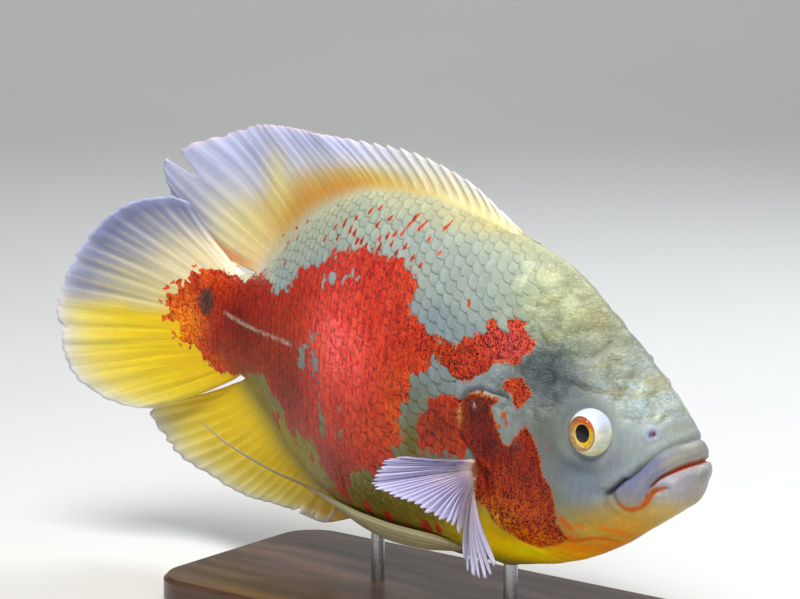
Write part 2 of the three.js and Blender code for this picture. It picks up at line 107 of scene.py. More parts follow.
def linear(hexa):
    c = np.array([int(hexa[k:k + 2], 16) / 255 for k in (1, 3, 5)])
    return np.where(c <= 0.04045, c / 12.92, ((c + 0.055) / 1.055) ** 2.4)


def line_dist(p, line):
    """Distance from points to an open line, and which side of it (+ is left)."""
    best = np.full(len(p), 1e9)
    side = np.ones(len(p))
    for a, b in zip(line[:-1], line[1:]):
        a, b = np.array(a, float), np.array(b, float)
        e = b - a
        t = np.clip(((p - a) @ e) / (e @ e), 0, 1)
        q = p - a - t[:, None] * e
        d = np.hypot(q[:, 0], q[:, 1])
        s = np.sign(e[0] * (p[:, 1] - a[1]) - e[1] * (p[:, 0] - a[0]))
        near = d < best
        best[near], side[near] = d[near], s[near]
    return best, side


def area_dist(p, poly):
    """Signed distance to a closed outline, positive inside."""
    d, _ = line_dist(p, list(poly) + [poly[0]])
    inside = np.zeros(len(p), bool)
    x, y = p[:, 0], p[:, 1]
    n = len(poly)
    for i in range(n):
        (x0, y0), (x1, y1) = poly[i], poly[(i + 1) % n]
        if y0 == y1:
            continue
        cross = ((y0 > y) != (y1 > y)) & (x < (x1 - x0) * (y - y0) / (y1 - y0) + x0)
        inside ^= cross
    return np.where(inside, d, -d)


# ------------------------------------------------------------------ body form
SPINE = [[0, 1], [50, 1], [75, 4.3], [120, 5.5], [175, 11], [215, 9.5], [250, -18], [300, -27]]
PITCH_DEG, AXIS_Z = 3.5, 84.0
BODY = np.array([
    [2.6, -2.4, -9.4, 3.4, -5.5], [4.4, -0.4, -15.4, 8.0, -5.2], [7.5, 4.2, -17.9, 11.6, -5.0],
    [12.7, 13.0, -22.2, 14.2, -5.0], [21.5, 23.4, -28.9, 17.0, -4.5], [32, 32.9, -36.6, 19.3, -3.5],
    [46, 44.2, -44.4, 21.8, -2.5], [62, 55.6, -49.8, 23.6, -1.0], [80, 62.0, -53.6, 24.8, 1.0],
    [102, 66.8, -55.2, 24.9, 3.0], [124, 69.3, -55.4, 24.0, 4.0], [147, 67.6, -53.8, 21.2, 5.0],
    [165, 62.0, -50.0, 17.6, 5.5], [185, 50.2, -40.5, 13.4, 5.0], [203, 33.8, -26.5, 10.2, 4.0],
    [215, 24.5, -18.6, 8.4, 3.5], [227, 21.6, -15.6, 6.7, 3.3], [236, 18.5, -12.2, 5.0, 3.3],
    [240, 14.0, -7.5, 3.2, 3.3]])
KNOTS = np.arange(0, 260.01, 0.25)
TAB = [curve(list(zip(BODY[:, 0], BODY[:, k])))(KNOTS) for k in (1, 2, 3, 4)]
TAB.append(curve([[0, .57], [30, .63], [80, .64], [150, .64], [240, .55]])(KNOTS))
top, bottom, half, widest, keel = [(lambda s, t=t: np.interp(s, KNOTS, t)) for t in TAB]
EYE = (35.7, 15.3, 5.2)
EYE_R = 8.5


def body_point(s, phi):
    """Point of the body's outer surface; phi is 0 on the back, + to the right."""
    c, ca = widest(s), np.cos(phi)
    up = ca > 0
    H, e = np.where(up, top(s) - c, c - bottom(s)), np.abs(ca)
    w = half(s) * np.where(up, (1 - np.minimum(e, 1) ** 2.2) ** keel(s), (1 - np.minimum(e, 1) ** 2.5) ** .54)
    return np.stack([s + 0 * phi, np.sign(np.sin(phi)) * w, c + ca * H], -1)


def body_width(s, h):
    c = widest(s)
    up = h > c
    e = np.clip(np.abs(h - c) / np.where(up, top(s) - c, c - bottom(s)), 0, 1)
    return half(s) * np.where(up, (1 - e ** 2.2) ** keel(s), (1 - e ** 2.5) ** .54)


def body_normal(s, phi):
    e = 1e-3
    ds = body_point(s + .05, phi) - body_point(s - .05, phi)
    dp = body_point(s, phi + e) - body_point(s, phi - e)
    n = np.cross(ds, dp)
    n /= np.maximum(np.linalg.norm(n, axis=-1, keepdims=True), 1e-12)
    out = body_point(s, phi) - np.stack([s + 0 * phi, 0 * s + 0 * phi, widest(s) + 0 * phi], -1)
    return n * np.where((n * out).sum(-1, keepdims=True) < 0, -1, 1)


_heading = curve(SPINE)
_S = np.arange(-10, 331, 1.0)
_A = np.radians(_heading(np.clip(_S, 0, 300)))
_B = np.radians(_heading(np.clip(_S + .5, 0, 300)))
_X = np.concatenate([[0], np.cumsum(-np.cos(_B))[:-1]])
_Y = np.concatenate([[0], np.cumsum(np.sin(_B))[:-1]])
_X -= _X[130]
_Y -= _Y[130]


def posed(p):
    """Rest millimetres to metres in the part's frame."""
    s, w, h = np.asarray(p, float).T
    x, y, a = np.interp(s, _S, _X), np.interp(s, _S, _Y), np.interp(s, _S, _A)
    x, y = x - w * np.sin(a), y - w * np.cos(a)
    c, k = math.cos(math.radians(PITCH_DEG)), math.sin(math.radians(PITCH_DEG))
    return np.stack([x * c + h * k, y, -x * k + h * c + AXIS_Z], 1) / 1000


# ------------------------------------------------------------------ markings
RED = [(235.7, 22.6), (228.7, 22.1), (221.2, 20.2), (205, 26.5), (197.7, 24.8), (191, 21.6), (183.5, 25.5), (179.2, 31), (166.9, 37.3),
       (157.4, 43.1), (145.8, 46.5), (136.2, 48.7), (130.2, 47.6), (119.7, 47.4), (113.4, 46.3), (110.1, 42), (111.8, 35.3), (113.2, 31.9),
       (103.7, 28.8), (95.5, 26), (92.2, 24.8), (88.3, 26.9), (80, 27.1), (79.5, 30.9), (76.1, 35.4), (70.4, 34.8), (68.2, 37.4),
       (65.2, 35.6), (59.3, 32.5), (57.8, 30.5), (60.7, 26.8), (64.3, 22.5), (67.5, 23.3), (72.6, 22.3), (76.5, 18.8), (82.7, 13.2),
       (86.5, 13.9), (90.5, 16), (93.5, 18.8), (96.9, 20.1), (100.4, 18.4), (103, 14), (105.1, 10.8), (107.5, 8.8), (108.5, 3.9),
       (109.7, 1), (108.8, -2.4), (113.7, -5.1), (110.7, -9.2), (110.1, -13.8), (118.1, -17.3), (111, -18.8), (120, -22.1), (124.8, -28.9),
       (131.1, -28.8), (136.4, -29.8), (140.8, -33.3), (141.8, -38.5), (143.5, -43.6), (149.8, -44.6), (151.7, -41.4), (153.1, -38.1),
       (157.6, -31), (160.9, -27.2), (172.1, -25.6), (180.4, -27.3), (182.7, -22.5), (185.6, -18.5), (191.1, -14.6), (195.5, -10.4),
       (199, -9.2), (208.5, -12.9), (230.1, -17.2), (236, -16.5), (243.1, -9.8), (247.5, -7.4), (251.8, -4), (256.1, 1), (258.4, 7), (254.4, 11.4),
       (250.3, 15), (244.2, 19.6)]
CHEEK_PATCH = [(67.9, 17.1), (63.6, 19.3), (61.2, 19.8), (59.9, 18.2), (56.3, 14.6), (58.4, 11.7), (61, 8.5), (62.8, 10.3), (64.1, 13.6), (66.8, 14)]
SHOULDER_PATCH = [(97, 4.2), (91.7, 5.2), (86.5, 8), (82, 6), (81, 0.7), (79, -6.8), (81.6, -13.1), (89.6, -13.3), (96.2, -13.3), (102.7, -13.8),
                  (102.4, -2.3), (98.6, -0.5)]
OPERCLE = [(67, 11), (70.9, 11.7), (75.8, 12.2), (80.9, 10.2), (84, 6.7), (84.9, 2.4), (83.9, -2.4), (81.2, -5.6), (78.5, -8.8), (77.3, -11), (76.3, -14.1),
           (76.7, -19.9), (76.6, -26.5), (72.1, -29.1), (70.8, -33), (66.4, -35.6), (62.1, -38.3), (55.5, -40), (50, -37.8), (46, -35.6), (43.4, -33.6), (44.8, -30.5),
           (46.2, -27.6), (45.9, -23.1), (46.9, -16.1), (50.3, -11.2), (51.7, -5.2), (54.7, 1.1), (57.5, 3.9), (59.5, 2.2), (62.8, -3.6), (65.2, -3.2),
           (67.7, 2.1), (70.4, 7.6), (68.6, 9.6)]
PLATE = [(60, 8), (66, 11.3), (70.8, 11.9), (75.8, 12.2), (80.7, 10.3), (83.9, 6.7), (84.7, 2.4), (83.7, -2.3), (81.2, -5.5), (78.5, -8.4), (77.1, -10.9),
         (75, -13), (72.1, -13.9), (69.7, -14.4), (68.9, -18), (68.7, -23.8), (68.4, -28), (66, -33), (61, -37.5), (55, -40.2), (47, -41.2), (42, -38), (46.8, -32.3),
         (49.7, -29.1), (51.2, -24.2), (51.5, -17), (52.1, -10.8), (53.1, -6.2), (54.9, -1.7), (57.4, 2.6)]
FISSURES = [([(160, 9.5), (158.6, 1.2), (156.3, -3.7), (154.8, -8.9), (153.6, -14.2), (153.5, -20.5)], 1.3),
            ([(167.2, 8.6), (167.6, 4.6), (167.3, 1)], 2.6), ([(157.5, 16), (163.1, 11.2), (167.1, 7.3)], 2.2),
            ([(143, -8.4), (143.1, -14), (143, -20.7)], 1.2), ([(136, 40), (152, 37), (160, 32)], .7)]
DASHES = [(200.8, 42.2, 1.4, 0), (196.5, 40, 1, 0), (194, 38.6, 2, 0), (189.6, 33.8, 1.2, 0), (186.7, 43.7, 1.3, 0), (185, 48.9, 1.1, 0), (192, 46, .9, 0), (164.7, 47.5, 1.4, .2),
          (156.7, 49.7, 1.6, .2), (155.7, 54.8, 2.4, .1), (150.5, 53.4, 2.2, .1), (147.6, 52.9, 1.7, .2), (145, 50.6, 1.8, .2), (142.5, 51.1, 1.8, .2), (144.5, 60.9, 1.3, .4), (137.7, 57.4, 1.6, .3),
          (139.6, 49.9, 1.4, .3), (134, 53.5, 1.5, .2), (130.7, 54.9, 1.4, .3), (127.9, 56.1, 1.2, .3), (124.5, 57, 1.4, .4), (122.6, 60.6, 2.2, .7), (121.7, 63, 1.4, .8),
          (117.4, 60.4, 2.6, .7), (107.6, 61.8, 2.4, .6), (112, 57, 1, .4), (105.6, 53.4, .9, .4), (132.6, 50.9, 1.6, .2), (127.5, 52.8, 1.2, .3), (121, 53, 1.5, .3),
          (116, 50, 1.6, .3), (124, 50.5, 1.4, .3), (111.5, 48.5, 1.2, .3), (87.2, 39.9, 1.5, -.35), (140.5, 62.5, 1.2, .5), (133, 60.5, 1.4, .5),
          (150, 57.5, 1.2, .2), (160.5, 52.3, 1.2, .1)]
SPOTS = [(133.7, -44.1, 2.4), (123, -45.5, 2.6), (114, -47, 1.6), (104, -44, 2.6), (98, -43, 1.6), (192.3, -27, 3), (188.5, -23.5, 1.4), (65.4, 6.1, 1.1), (64.2, 3.4, .8), (67, 2, .9),
         (52.1, .2, .35), (49.4, -2, .5), (47.5, -1.4, .3), (155.5, -44.5, 1.4), (164, -33.5, 1.6), (114, -24, 2), (107.6, -21, 1.2), (176, -31, 1)]
LATERAL = [(226.9, 7.3), (211.2, 5.9), (200.1, 5.6), (184.9, 6.1), (175.5, 6.4)]
LIP = [(6.6, 4.9), (7.8, 4.7), (8.9, 4.6), (10.7, 2.9), (13.6, -.3), (16.4, -3.4), (19.6, -6.9), (21.8, -8.2), (24.2, -11), (26, -13), (25.6, -14.8), (24.2, -16.6),
       (22, -18), (19.8, -17.9), (17.6, -16.6), (15.8, -14.7), (14.1, -12.1), (13, -9.8), (12.4, -7.7), (10.2, -4.9), (7.8, -3), (5.6, -1.2), (4.6, -.7), (0, -.5), (0, 5)]
GROOVE = [(6.2, 5.2), (7.8, 4.8), (8.9, 4.6), (10.7, 2.9), (13.6, -.3), (16.4, -3.4), (19.6, -6.9), (21.8, -8.2), (24.2, -11), (26.6, -13.6)]
MOUTH = [(0, -.5), (4.6, -.7), (5.6, -1.2), (7.8, -3), (10.2, -4.9), (12.4, -7.7), (13.4, -9.8), (12.2, -8.8), (10.1, -6.3), (8.3, -4.9), (5.4, -3.1), (3.7, -2), (0, -1.7)]
LOBE = [(26.2, -13.2), (25.6, -14.9), (24.2, -16.8), (22, -18.3), (19.6, -18.2), (17.3, -16.9), (15.4, -14.9), (13.6, -12.2), (12.6, -9.8)]
BAND = [(24.8, -13.8), (23.8, -16.6), (21.6, -18.2), (19, -18), (16.8, -16.9), (15, -14.9), (13.1, -12.1), (11, -9.7), (8.2, -8.5)]
PREOPERCLE = [(57.4, 2.6), (54.9, -1.7), (53.1, -6.2), (52.1, -10.8), (51.5, -17), (51.2, -24.2), (49.7, -29.1), (46.8, -32.3), (42.6, -34.2), (37.3, -33.2), (31, -30.6)]
FLAP = [(66, 11.6), (70.8, 11.9), (75.8, 12.2), (80.7, 10.3), (83.9, 6.7), (84.7, 2.4), (83.7, -2.3), (81.2, -5.5), (78.5, -8.4), (77.1, -10.9)]
GILL_EDGE = [(77.1, -10.9), (75, -13), (72.1, -13.9), (69.7, -14.4), (68.9, -18), (68.7, -23.8), (68.4, -28), (66, -33), (61, -37.5), (55, -40.2), (47, -41.2)]

BASE_ROWS = [(0.0, "#a8963a"), (0.12, "#a08c30"), (0.26, "#8f8a5c"), (0.42, "#97a09a"), (0.6, "#a9b6b6"), (0.78, "#bcc8c0"), (0.92, "#cdd5bc"), (1.0, "#dcd9b4")]
LINES = [  # line, half width, colour, strength
    ([(31, -27.4), (28, -28.2), (24.6, -29.4), (23.4, -30.4)], 1.3, "#e2801c", .8), ([(29, -33), (31, -32), (35, -31.8), (42, -34.4), (47, -33.6)], .7, "#c9601c", .8),
    ([(44.6, -26), (43, -27.6), (41.8, -28.8)], 1.5, "#d96a1c", .85), ([(39.4, -27.6), (38, -28)], 1.2, "#dd7424", .7), ([(28.6, -17.8), (26.4, -15.6)], .7, "#d58a5a", .6),
    ([(46.5, -29.5), (44.8, -31.6), (42, -33.2)], 1.7, "#dd6a18", .8), ([(49, -36.6), (40, -37.4), (33, -36.4), (28, -34.4)], 1.5, "#e08a1c", .7),
    # the first entry here is dark red-brown painted shade in the cleft between the gill cover and the pectoral's base
    ([(74.5, -15.2), (72.6, -18), (72, -22), (73, -26)], 2.2, "#7c2a12", .85), ([(76, -13.4), (71.6, -13.2), (69.4, -14.4), (68.6, -18), (68.6, -23), (69.4, -27)], .75, "#dba182", .75),
    ([(31, 19.2), (28.4, 19.4)], 1.5, "#c2aa3c", .75), ([(23.8, 19), (22, 19.4), (20.4, 20.2)], 1.2, "#c2aa3c", .75), ([(22.6, 23.6), (19.6, 21.4), (18, 20.4)], .9, "#cfb23c", .75),
    ([(43.9, 39.6), (41, 38.4)], 1.4, "#cabf6c", .6), ([(50.7, 40.7), (47, 42)], 1.8, "#c9c07a", .6), ([(56.2, 35), (53.6, 34.4)], 1.6, "#cbbf6c", .7), ([(16.7, 13.5), (14.8, 12.6)], 1, "#c9ba72", .6),
    ([(36, 27), (32, 28)], 1.4, "#c6bc74", .5), ([(40, 20.5), (35, 17.6)], 1.3, "#a3964a", .6), ([(62, 44), (57, 46)], 1.8, "#cfcb86", .5), ([(68, 52), (62, 52.5)], 1.5, "#d3cf88", .5),
    ([(12.1, 9.8), (10, 9)], .9, "#cbbd7c", .5), ([(99, 7.5), (99.5, 1)], 1.6, "#a89a24", .6), ([(51.5, -42.5), (44, -41.6), (36, -39.4)], 1.4, "#e39a12", .7),
]
BASE_BLOBS = [
    # s, h, half length, half height, colour, strength
    (22, 6, 34, 30, "#b4bdb9", .9), (104, 52, 30, 12, "#c8d3cc", .5), (84, 46, 18, 14, "#c6d0c6", .5), (118, 34, 8, 14, "#b4bfc6", .5),
    (62, 45, 16, 10, "#cbd0a2", .7), (48, 37, 14, 8, "#c2c796", .75), (36, 30, 12, 6, "#c9cfa8", .7), (26, 27, 10, 6, "#ccd4c4", .8), (17, 18, 8, 5, "#d3d9cc", .8),
    (75, 58, 16, 5, "#dcdcae", .7), (92, 64, 20, 4, "#e8d99a", .8),
    (53, 27, 9, 4, "#6c7a80", .7), (50, 21, 9, 5, "#66747c", .8), (42, 20, 6, 4, "#7a8788", .65), (60, 24, 6, 6, "#7b8890", .6), (48, 15, 6, 3, "#7f8c96", .5), (70, 16, 7, 4, "#8d8f9c", .5), (80, 12, 4, 3, "#9a92a4", .4),
    (88, 30, 16, 6, "#a2aeb4", .5), (98, 33, 9, 5, "#98a4b0", .45), (112, 30, 6, 6, "#94a0ae", .4), (100, 8, 10, 9, "#8d9590", .6),
    (44, -6, 9, 14, "#98a09a", .75), (33, -16, 9, 7, "#a4b0c0", .8), (26, 0, 5, 6, "#a0a6b4", .6), (42, -26, 6, 5, "#b0aea4", .6), (38, -11, 6, 5, "#9ba7b6", .5),
    # the entry at 36, -6 darkens a crescent under the eye: painted shade
    (47, 5, 5, 7, "#a2aca4", .5), (36, -6, 7, 3, "#8a8c96", .5), (18, 11, 6, 3, "#c4c8bc", .5), (27, 12, 7, 4, "#bcc4b4", .5),
    (10, -11, 9, 5, "#c9bab0", .9), (5, -6, 4, 5, "#d0c6d0", .8), (9, -7.5, 4, 2, "#c2bcc8", .7), (13, -18, 9, 3.6, "#d0b27c", .85), (24, -22, 9, 5, "#c9aa62", .85), (22, -27, 9, 4, "#d2a234", .9), (32, -24, 7, 4, "#bda476", .7),
    (30, -34, 8, 3, "#e29a20", .9), (41, -37.5, 8, 3, "#e08c20", .9), (36, -29.5, 5, 2.4, "#c8b080", .7), (38, -41, 8, 3, "#e8b010", .8),
    (62, -43.5, 18, 5, "#ecc804", 1), (76, -34, 8, 8, "#e2c208", .95), (52, -46, 14, 4, "#f0cc04", .9), (84, -44, 14, 6, "#d9bb10", .8), (78, -28, 4, 4, "#c98a18", .6),
    (105, 0, 4, 9, "#85846a", .6), (105, -12, 4.5, 7, "#85741c", .85), (92, -20, 9, 5, "#a5541c", .6), (105, -30, 10, 8, "#8f801c", .8),
    (128, -40, 14, 5, "#7f7430", .7), (112, -50, 26, 4, "#5a5224", .6), (150, -49, 14, 4, "#a08e20", .7), (168, -36, 12, 7, "#a8961c", .85), (186, -30, 8, 8, "#bca414", .85),
    # the entry at 224, 24 is a painted highlight on the upper base of the tail
    (210, -17.5, 12, 4, "#c2a818", .7), (198, -14, 5, 4, "#a08f3c", .6), (176, 9, 5, 4, "#948078", .5), (207, 27, 8, 5, "#c9c0b8", .8), (224, 24, 8, 3, "#efe4cc", .9)]
RED_BLOBS = [
    (150, 5, 200, 100, "#b0200c", 1), (143, 12, 26, 24, "#e83a2e", .95), (147, 14, 13, 12, "#fa4e4c", .9), (150, 40, 30, 8, "#c4302a", .9), (115, 40, 8, 10, "#c03626", .8),
    (68, 28, 12, 9, "#a82e30", .95), (60, 14, 5, 7, "#98280e", .9), (92, 22, 8, 6, "#9c240e", .9), (114, 0, 9, 16, "#cc3c08", .9), (130, -14, 16, 9, "#c43406", .85), (148, -32, 14, 8, "#921a04", .9),
    (92, -4, 12, 10, "#8a2204", .95), (178, -8, 16, 18, "#780c04", .9), (212, 5, 24, 20, "#6e0603", .95), (176, 26, 12, 9, "#b01c12", .8), (200, 14, 10, 7, "#b01c14", .6), (236, 17, 12, 6, "#bc3004", .8),
    (250, -2, 9, 10, "#f07004", .95), (252, 10, 6, 8, "#e05808", .7), (240, 21, 6, 3, "#e04c04", .8), (196, 40, 14, 6, "#c4381c", .9), (118, 58, 16, 6, "#d04430", .8), (232, -13, 10, 4, "#cc4404", .8), (65.5, 4.5, 3, 4, "#7c3026", .9)]
OPERCLE_BLOBS = [(60, -15, 80, 60, "#8e1e02", 1), (76, 5, 8, 8, "#54100a", .9), (69, -5, 8, 6, "#5e1004", .8), (56, -10, 8, 9, "#8a2004", .8), (58, -26, 9, 8, "#ac3202", .9),
                 (56, -36, 14, 5, "#cc4e02", .9), (70, -31, 7, 5, "#d06002", .7), (66, -20, 3, 9, "#a83c10", .6), (84.3, 4, 1.4, 9, "#cc7c48", .85), (76, 12.2, 8, 1.2, "#c8804c", .85),
                 (77.3, 7, .9, .9, "#e8b4c0", 1), (61, -3, 3, 3, "#6c3630", .6)]


TONES = [  # s, h, half length, half height, share of the light kept in red, green and blue, strength
    (100, 20, 500, 500, (.57, .575, .58), 1), (52, 23, 15, 11, (.42, .45, .5), .9), (51, 3, 9, 13, (.56, .5, .42), .85), (38, -10, 15, 12, (.82, .85, .88), .8),
    # the entry at 38, -5.5 darkens a crescent under the eye: painted shade
    (36, 34, 24, 12, (.72, .72, .78), .8), (6, -9, 5, 7, (1.4, 1.38, 1.4), .8), (30, -20, 8, 5, (1.25, 1.2, 1.15), .6), (38, -5.5, 6, 3, (.66, .66, .7), .7), (11, -15, 7, 4, (1.35, 1.3, 1.1), .8), (58, 44, 16, 9, (.95, .97, .9), .6), (18, 14, 9, 7, (1.35, 1.4, 1.55), .85), (20, -8, 12, 6, (1.0, 1.08, 1.25), .7),
    (17, -21, 12, 6, (1.6, 1.32, .5), .9), (34, -28, 15, 7, (1.9, 1.5, .3), .9), (50, -41, 22, 8, (2.2, 1.75, .15), 1), (76, -42, 20, 12, (2.0, 1.9, .1), 1),
    (100, 30, 14, 12, (.95, .98, 1.0), .7), (105, -14, 9, 22, (1.0, .9, .5), .8), (130, -44, 30, 10, (1.1, 1.0, .3), .8), (172, -34, 20, 10, (1.5, 1.4, .2), .9),
    # the entry at 212, 25 lightens the upper base of the tail as a painted highlight
    (212, 25, 16, 8, (1.5, 1.4, 1.3), .9), (118, 66, 60, 5, (1.25, 1.2, 1.05), .6)]


def blend(s, h, blobs, start):
    col = start.copy()
    for cs, ch, rs, rh, hexa, k in blobs:
        w = k * np.exp(-(((s - cs) / rs) ** 2 + ((h - ch) / rh) ** 2) * 1.1)
        col += (linear(hexa) - col) * np.clip(w, 0, 1)[:, None]
    return col


GS, GH = np.arange(-6, 290.1, 0.5), np.arange(-72, 96.1, 0.5)
_gs, _gh = [a.ravel() for a in np.meshgrid(GS, GH, indexing="ij")]
_gp = np.stack([_gs, _gh], 1)


def _build_fields():
    tt = np.clip((_gh - bottom(_gs)) / np.maximum(top(_gs) - bottom(_gs), 1), 0, 1)
    rows = np.array([linear(c) for _, c in BASE_ROWS])
    start = np.stack([np.interp(tt, [r[0] for r in BASE_ROWS], rows[:, k]) for k in range(3)], 1)
    base = blend(_gs, _gh, BASE_BLOBS, start)
    lip = area_dist(_gp, LIP)
    groove, _ = line_dist(_gp, GROOVE)
    # the upper lip's lavender-grey, darker next to the groove as painted shade
    lipcol = linear("#8c91ad") + (linear("#aaa6b4") - linear("#8c91ad")) * smooth(1.2, 3.8, groove)[:, None]
    lipcol += (linear("#bcb9a8") - lipcol) * (.85 * smooth(11, 7, _gs))[:, None]
    lipcol += (linear("#c4b0ae") - lipcol) * (.7 * bell(np.hypot(_gs - 21.5, _gh + 15), 3))[:, None]
    base += (lipcol - base) * smooth(-.1, .6, lip)[:, None]
    for line, wide, hexa, k in LINES:
        _h = line[0][1]
        d, _ = line_dist(_gp, line)
        d = d + wide * (.55 * noise(np.stack([_gs / 2.2, _gh / 1.6, 0 * _gs], 1), 17) + .3 * noise(np.stack([_gs / .9, _gh / .8, 0 * _gs], 1), 19))
        gold = .5 if _h > 0 else 1
        base += (linear(hexa) - base) * (k * gold * smooth(1.5, .3, d / wide))[:, None]
    band, _ = line_dist(_gp, BAND)
    wide = np.interp(_gs, [8, 10, 13, 15, 17, 22, 24.8], [.3, .8, 1.25, 1.1, .8, .8, .6]) * (1 + .2 * noise(np.stack([_gs, _gh, 0 * _gs], 1), 18))
    base += (linear("#e0701a") - base) * (smooth(1.3, .5, band / wide) * smooth(.7, .1, lip))[:, None]
    mouth = area_dist(_gp, MOUTH)
    base += (linear("#c8552c") - base) * smooth(-.3, .2, mouth)[:, None]
    base += (linear("#e08a60") - base) * (.6 * smooth(0, .5, mouth) * smooth(6, 3, _gs))[:, None]
    # painted shade in the mouth's recesses: darker red deeper in the slit, a dark line along the lip's groove and
    # near-black at the mouth's corner
    base += (linear("#7a2a1c") - base) * (.7 * smooth(-.2, .3, mouth) * smooth(8, 12, _gs))[:, None]
    base += (linear("#4b3f4a") - base) * (.75 * bell(groove, .5) * smooth(9, 20, _gs))[:, None]
    corner, _ = line_dist(_gp, [(21.5, -8), (24, -10.6), (27.4, -13.6)])
    base += (linear("#2c2430") - base) * (.85 * bell(corner, .8))[:, None]
    nost = np.hypot(_gs - 15.1, _gh - 7.7)
    base += (linear("#b4b2cc") - base) * (.7 * smooth(3.0 + .5 * np.cos(5 * np.arctan2(_gh - 7.7, _gs - 15.1)), 1.2, nost))[:, None]
    base += (linear("#b4444a") - base) * smooth(.95, .65, nost)[:, None]
    for cs, ch, rs, rh, keep, k in TONES:
        base *= 1 + (np.array(keep) - 1) * (k * np.exp(-1.1 * (((_gs - cs) / rs) ** 2 + ((_gh - ch) / rh) ** 2)))[:, None]
    red = area_dist(_gp, RED)
    for line, r in FISSURES:
        red = np.minimum(red, line_dist(_gp, line)[0] - r * .8)
    red = np.maximum(red, np.maximum(area_dist(_gp, CHEEK_PATCH), area_dist(_gp, SHOULDER_PATCH)))
    rag = .35 + .65 * smooth(-2, -4.5, np.maximum(area_dist(_gp, CHEEK_PATCH), area_dist(_gp, OPERCLE)))
    rag = np.maximum(rag, 1.9 * smooth(238, 246, _gs))
    mark = np.full(len(_gs), -9.0)
    for s, h, n, lean in DASHES:
        d, _ = line_dist(_gp, [(s + .5 * lean * n, h - .6 * n), (s - .5 * lean * n, h + .6 * n)])
        mark = np.maximum(mark, np.interp(_gh - h, [-.8 * n, .8 * n], [.85, .45]) - d)
    for s, h, r in SPOTS:
        mark = np.maximum(mark, r - np.hypot((_gs - s), (_gh - h) * .8))
    redcol = blend(_gs, _gh, RED_BLOBS, np.tile(linear("#cf4630"), (len(_gs), 1)))
    oper = area_dist(_gp, OPERCLE)
    opercol = blend(_gs, _gh, OPERCLE_BLOBS, np.tile(linear("#bc4218"), (len(_gs), 1)))
    opercol = opercol * (1 + (np.array([.8, .62, .7]) - 1) * smooth(-24, -8, _gh)[:, None] * smooth(83, 81, _gs)[:, None])
    lat, _ = line_dist(_gp, LATERAL)
    redcol += (linear("#c9a79a") - redcol) * (.55 * bell(lat, .55))[:, None]
    ocell = np.hypot((_gs - 238.6) / 4.2, (_gh - 9.5) / 5.2)
    redcol += (linear("#4d2c28") - redcol) * (.92 * smooth(1.25, .75, ocell))[:, None]
    dots = np.clip(smooth(128, 104, _gs) * .8 * smooth(-22, -8, _gh) + smooth(100, 92, _gs), 0, 1)
    dots *= np.where(area_dist(_gp, SHOULDER_PATCH) > -3, .45, 1)
    return dict(base=base, redcol=redcol, opercol=opercol, red=red[:, None], mark=mark[:, None], oper=oper[:, None], dots=dots[:, None], rag=rag[:, None])


FIELDS = {k: v.reshape(len(GS), len(GH), -1) for k, v in _build_fields().items()}


def field(name, s, h):
    g = FIELDS[name]
    x, y = np.clip((s - GS[0]) / .5, 0, len(GS) - 1.001), np.clip((h - GH[0]) / .5, 0, len(GH) - 1.001)
    i, j = x.astype(int), y.astype(int)
    fx, fy = (x - i)[:, None], (y - j)[:, None]
    v = (g[i, j] * (1 - fx) * (1 - fy) + g[i + 1, j] * fx * (1 - fy) + g[i, j + 1] * (1 - fx) * fy + g[i + 1, j + 1] * fx * fy)
    return v[:, 0] if v.shape[1] == 1 else v


def flesh_paint(p):
    """Colours and marking masks for points of the body. The far side carries its own version of the blotches."""
    s, w, h = p[:, 0], p[:, 1], p[:, 2]
    other = smooth(0, -3, w) * smooth(62, 90, s) * smooth(222, 190, s)
    q = np.stack([s / 22, h / 22, 0 * s + 5.5], 1)
    ms, mh = s + other * 9 * noise(q, 11), h + other * 8 * noise(q, 12)
    out = {k: field(k, s, h) for k in ("base", "opercol", "oper", "redcol")}
    for k in ("red", "mark", "dots", "rag"):
        out[k] = field(k, ms, mh)
    use = smooth(-.6, .4, out["oper"])
    out["red"] = np.maximum(out["red"], out["oper"])
    out["redcol"] = out["redcol"] * (1 - use[:, None]) + out["opercol"] * use[:, None]
    out["dots"] = np.maximum(out["dots"], smooth(-.5, .8, out["oper"]) * (.35 + .65 * smooth(-36, -22, h)))
    return out


# ------------------------------------------------------------------ mesh parts
def volume(v, faces):
    t = []
    for f in faces:
        f = np.asarray(f)
        for k in range(1, f.shape[1] - 1):
            t.append(f[:, [0, k, k + 1]])
    t = np.concatenate(t)
    return np.einsum("ij,ij->i", v[t[:, 0]], np.cross(v[t[:, 1]], v[t[:, 2]])).sum() / 6


def face_out(v, faces):
    return [f[:, ::-1] for f in faces] if volume(v, faces) < 0 else faces


def plate(g, th):
    """Closed plate about grid g with half thickness th."""
    nu, nv = th.shape
    du, dv = np.gradient(g, axis=0), np.gradient(g, axis=1)
    n = np.cross(du, dv)
    n /= np.maximum(np.linalg.norm(n, axis=-1, keepdims=True), 1e-9)
    v = np.concatenate([(g + n * th[..., None]).reshape(-1, 3), (g - n * th[..., None]).reshape(-1, 3)])
    i, j = [a.ravel() for a in np.meshgrid(np.arange(nu - 1), np.arange(nv - 1), indexing="ij")]
    a = i * nv + j
    N = nu * nv
    fa = np.stack([a, a + nv, a + nv + 1, a + 1], 1)
    fb = np.stack([a + N, a + 1 + N, a + nv + 1 + N, a + nv + N], 1)
    rim = ([(k, 0) for k in range(nu - 1)] + [(nu - 1, k) for k in range(nv - 1)]
           + [(k, nv - 1) for k in range(nu - 1, 0, -1)] + [(0, k) for k in range(nv - 1, 0, -1)])
    r = np.array([a * nv + b for a, b in rim])
    r2 = np.roll(r, -1)
    fr = np.stack([r, r + N, r2 + N, r2], 1)
    return v, face_out(v, [np.concatenate([fa, fb, fr])])


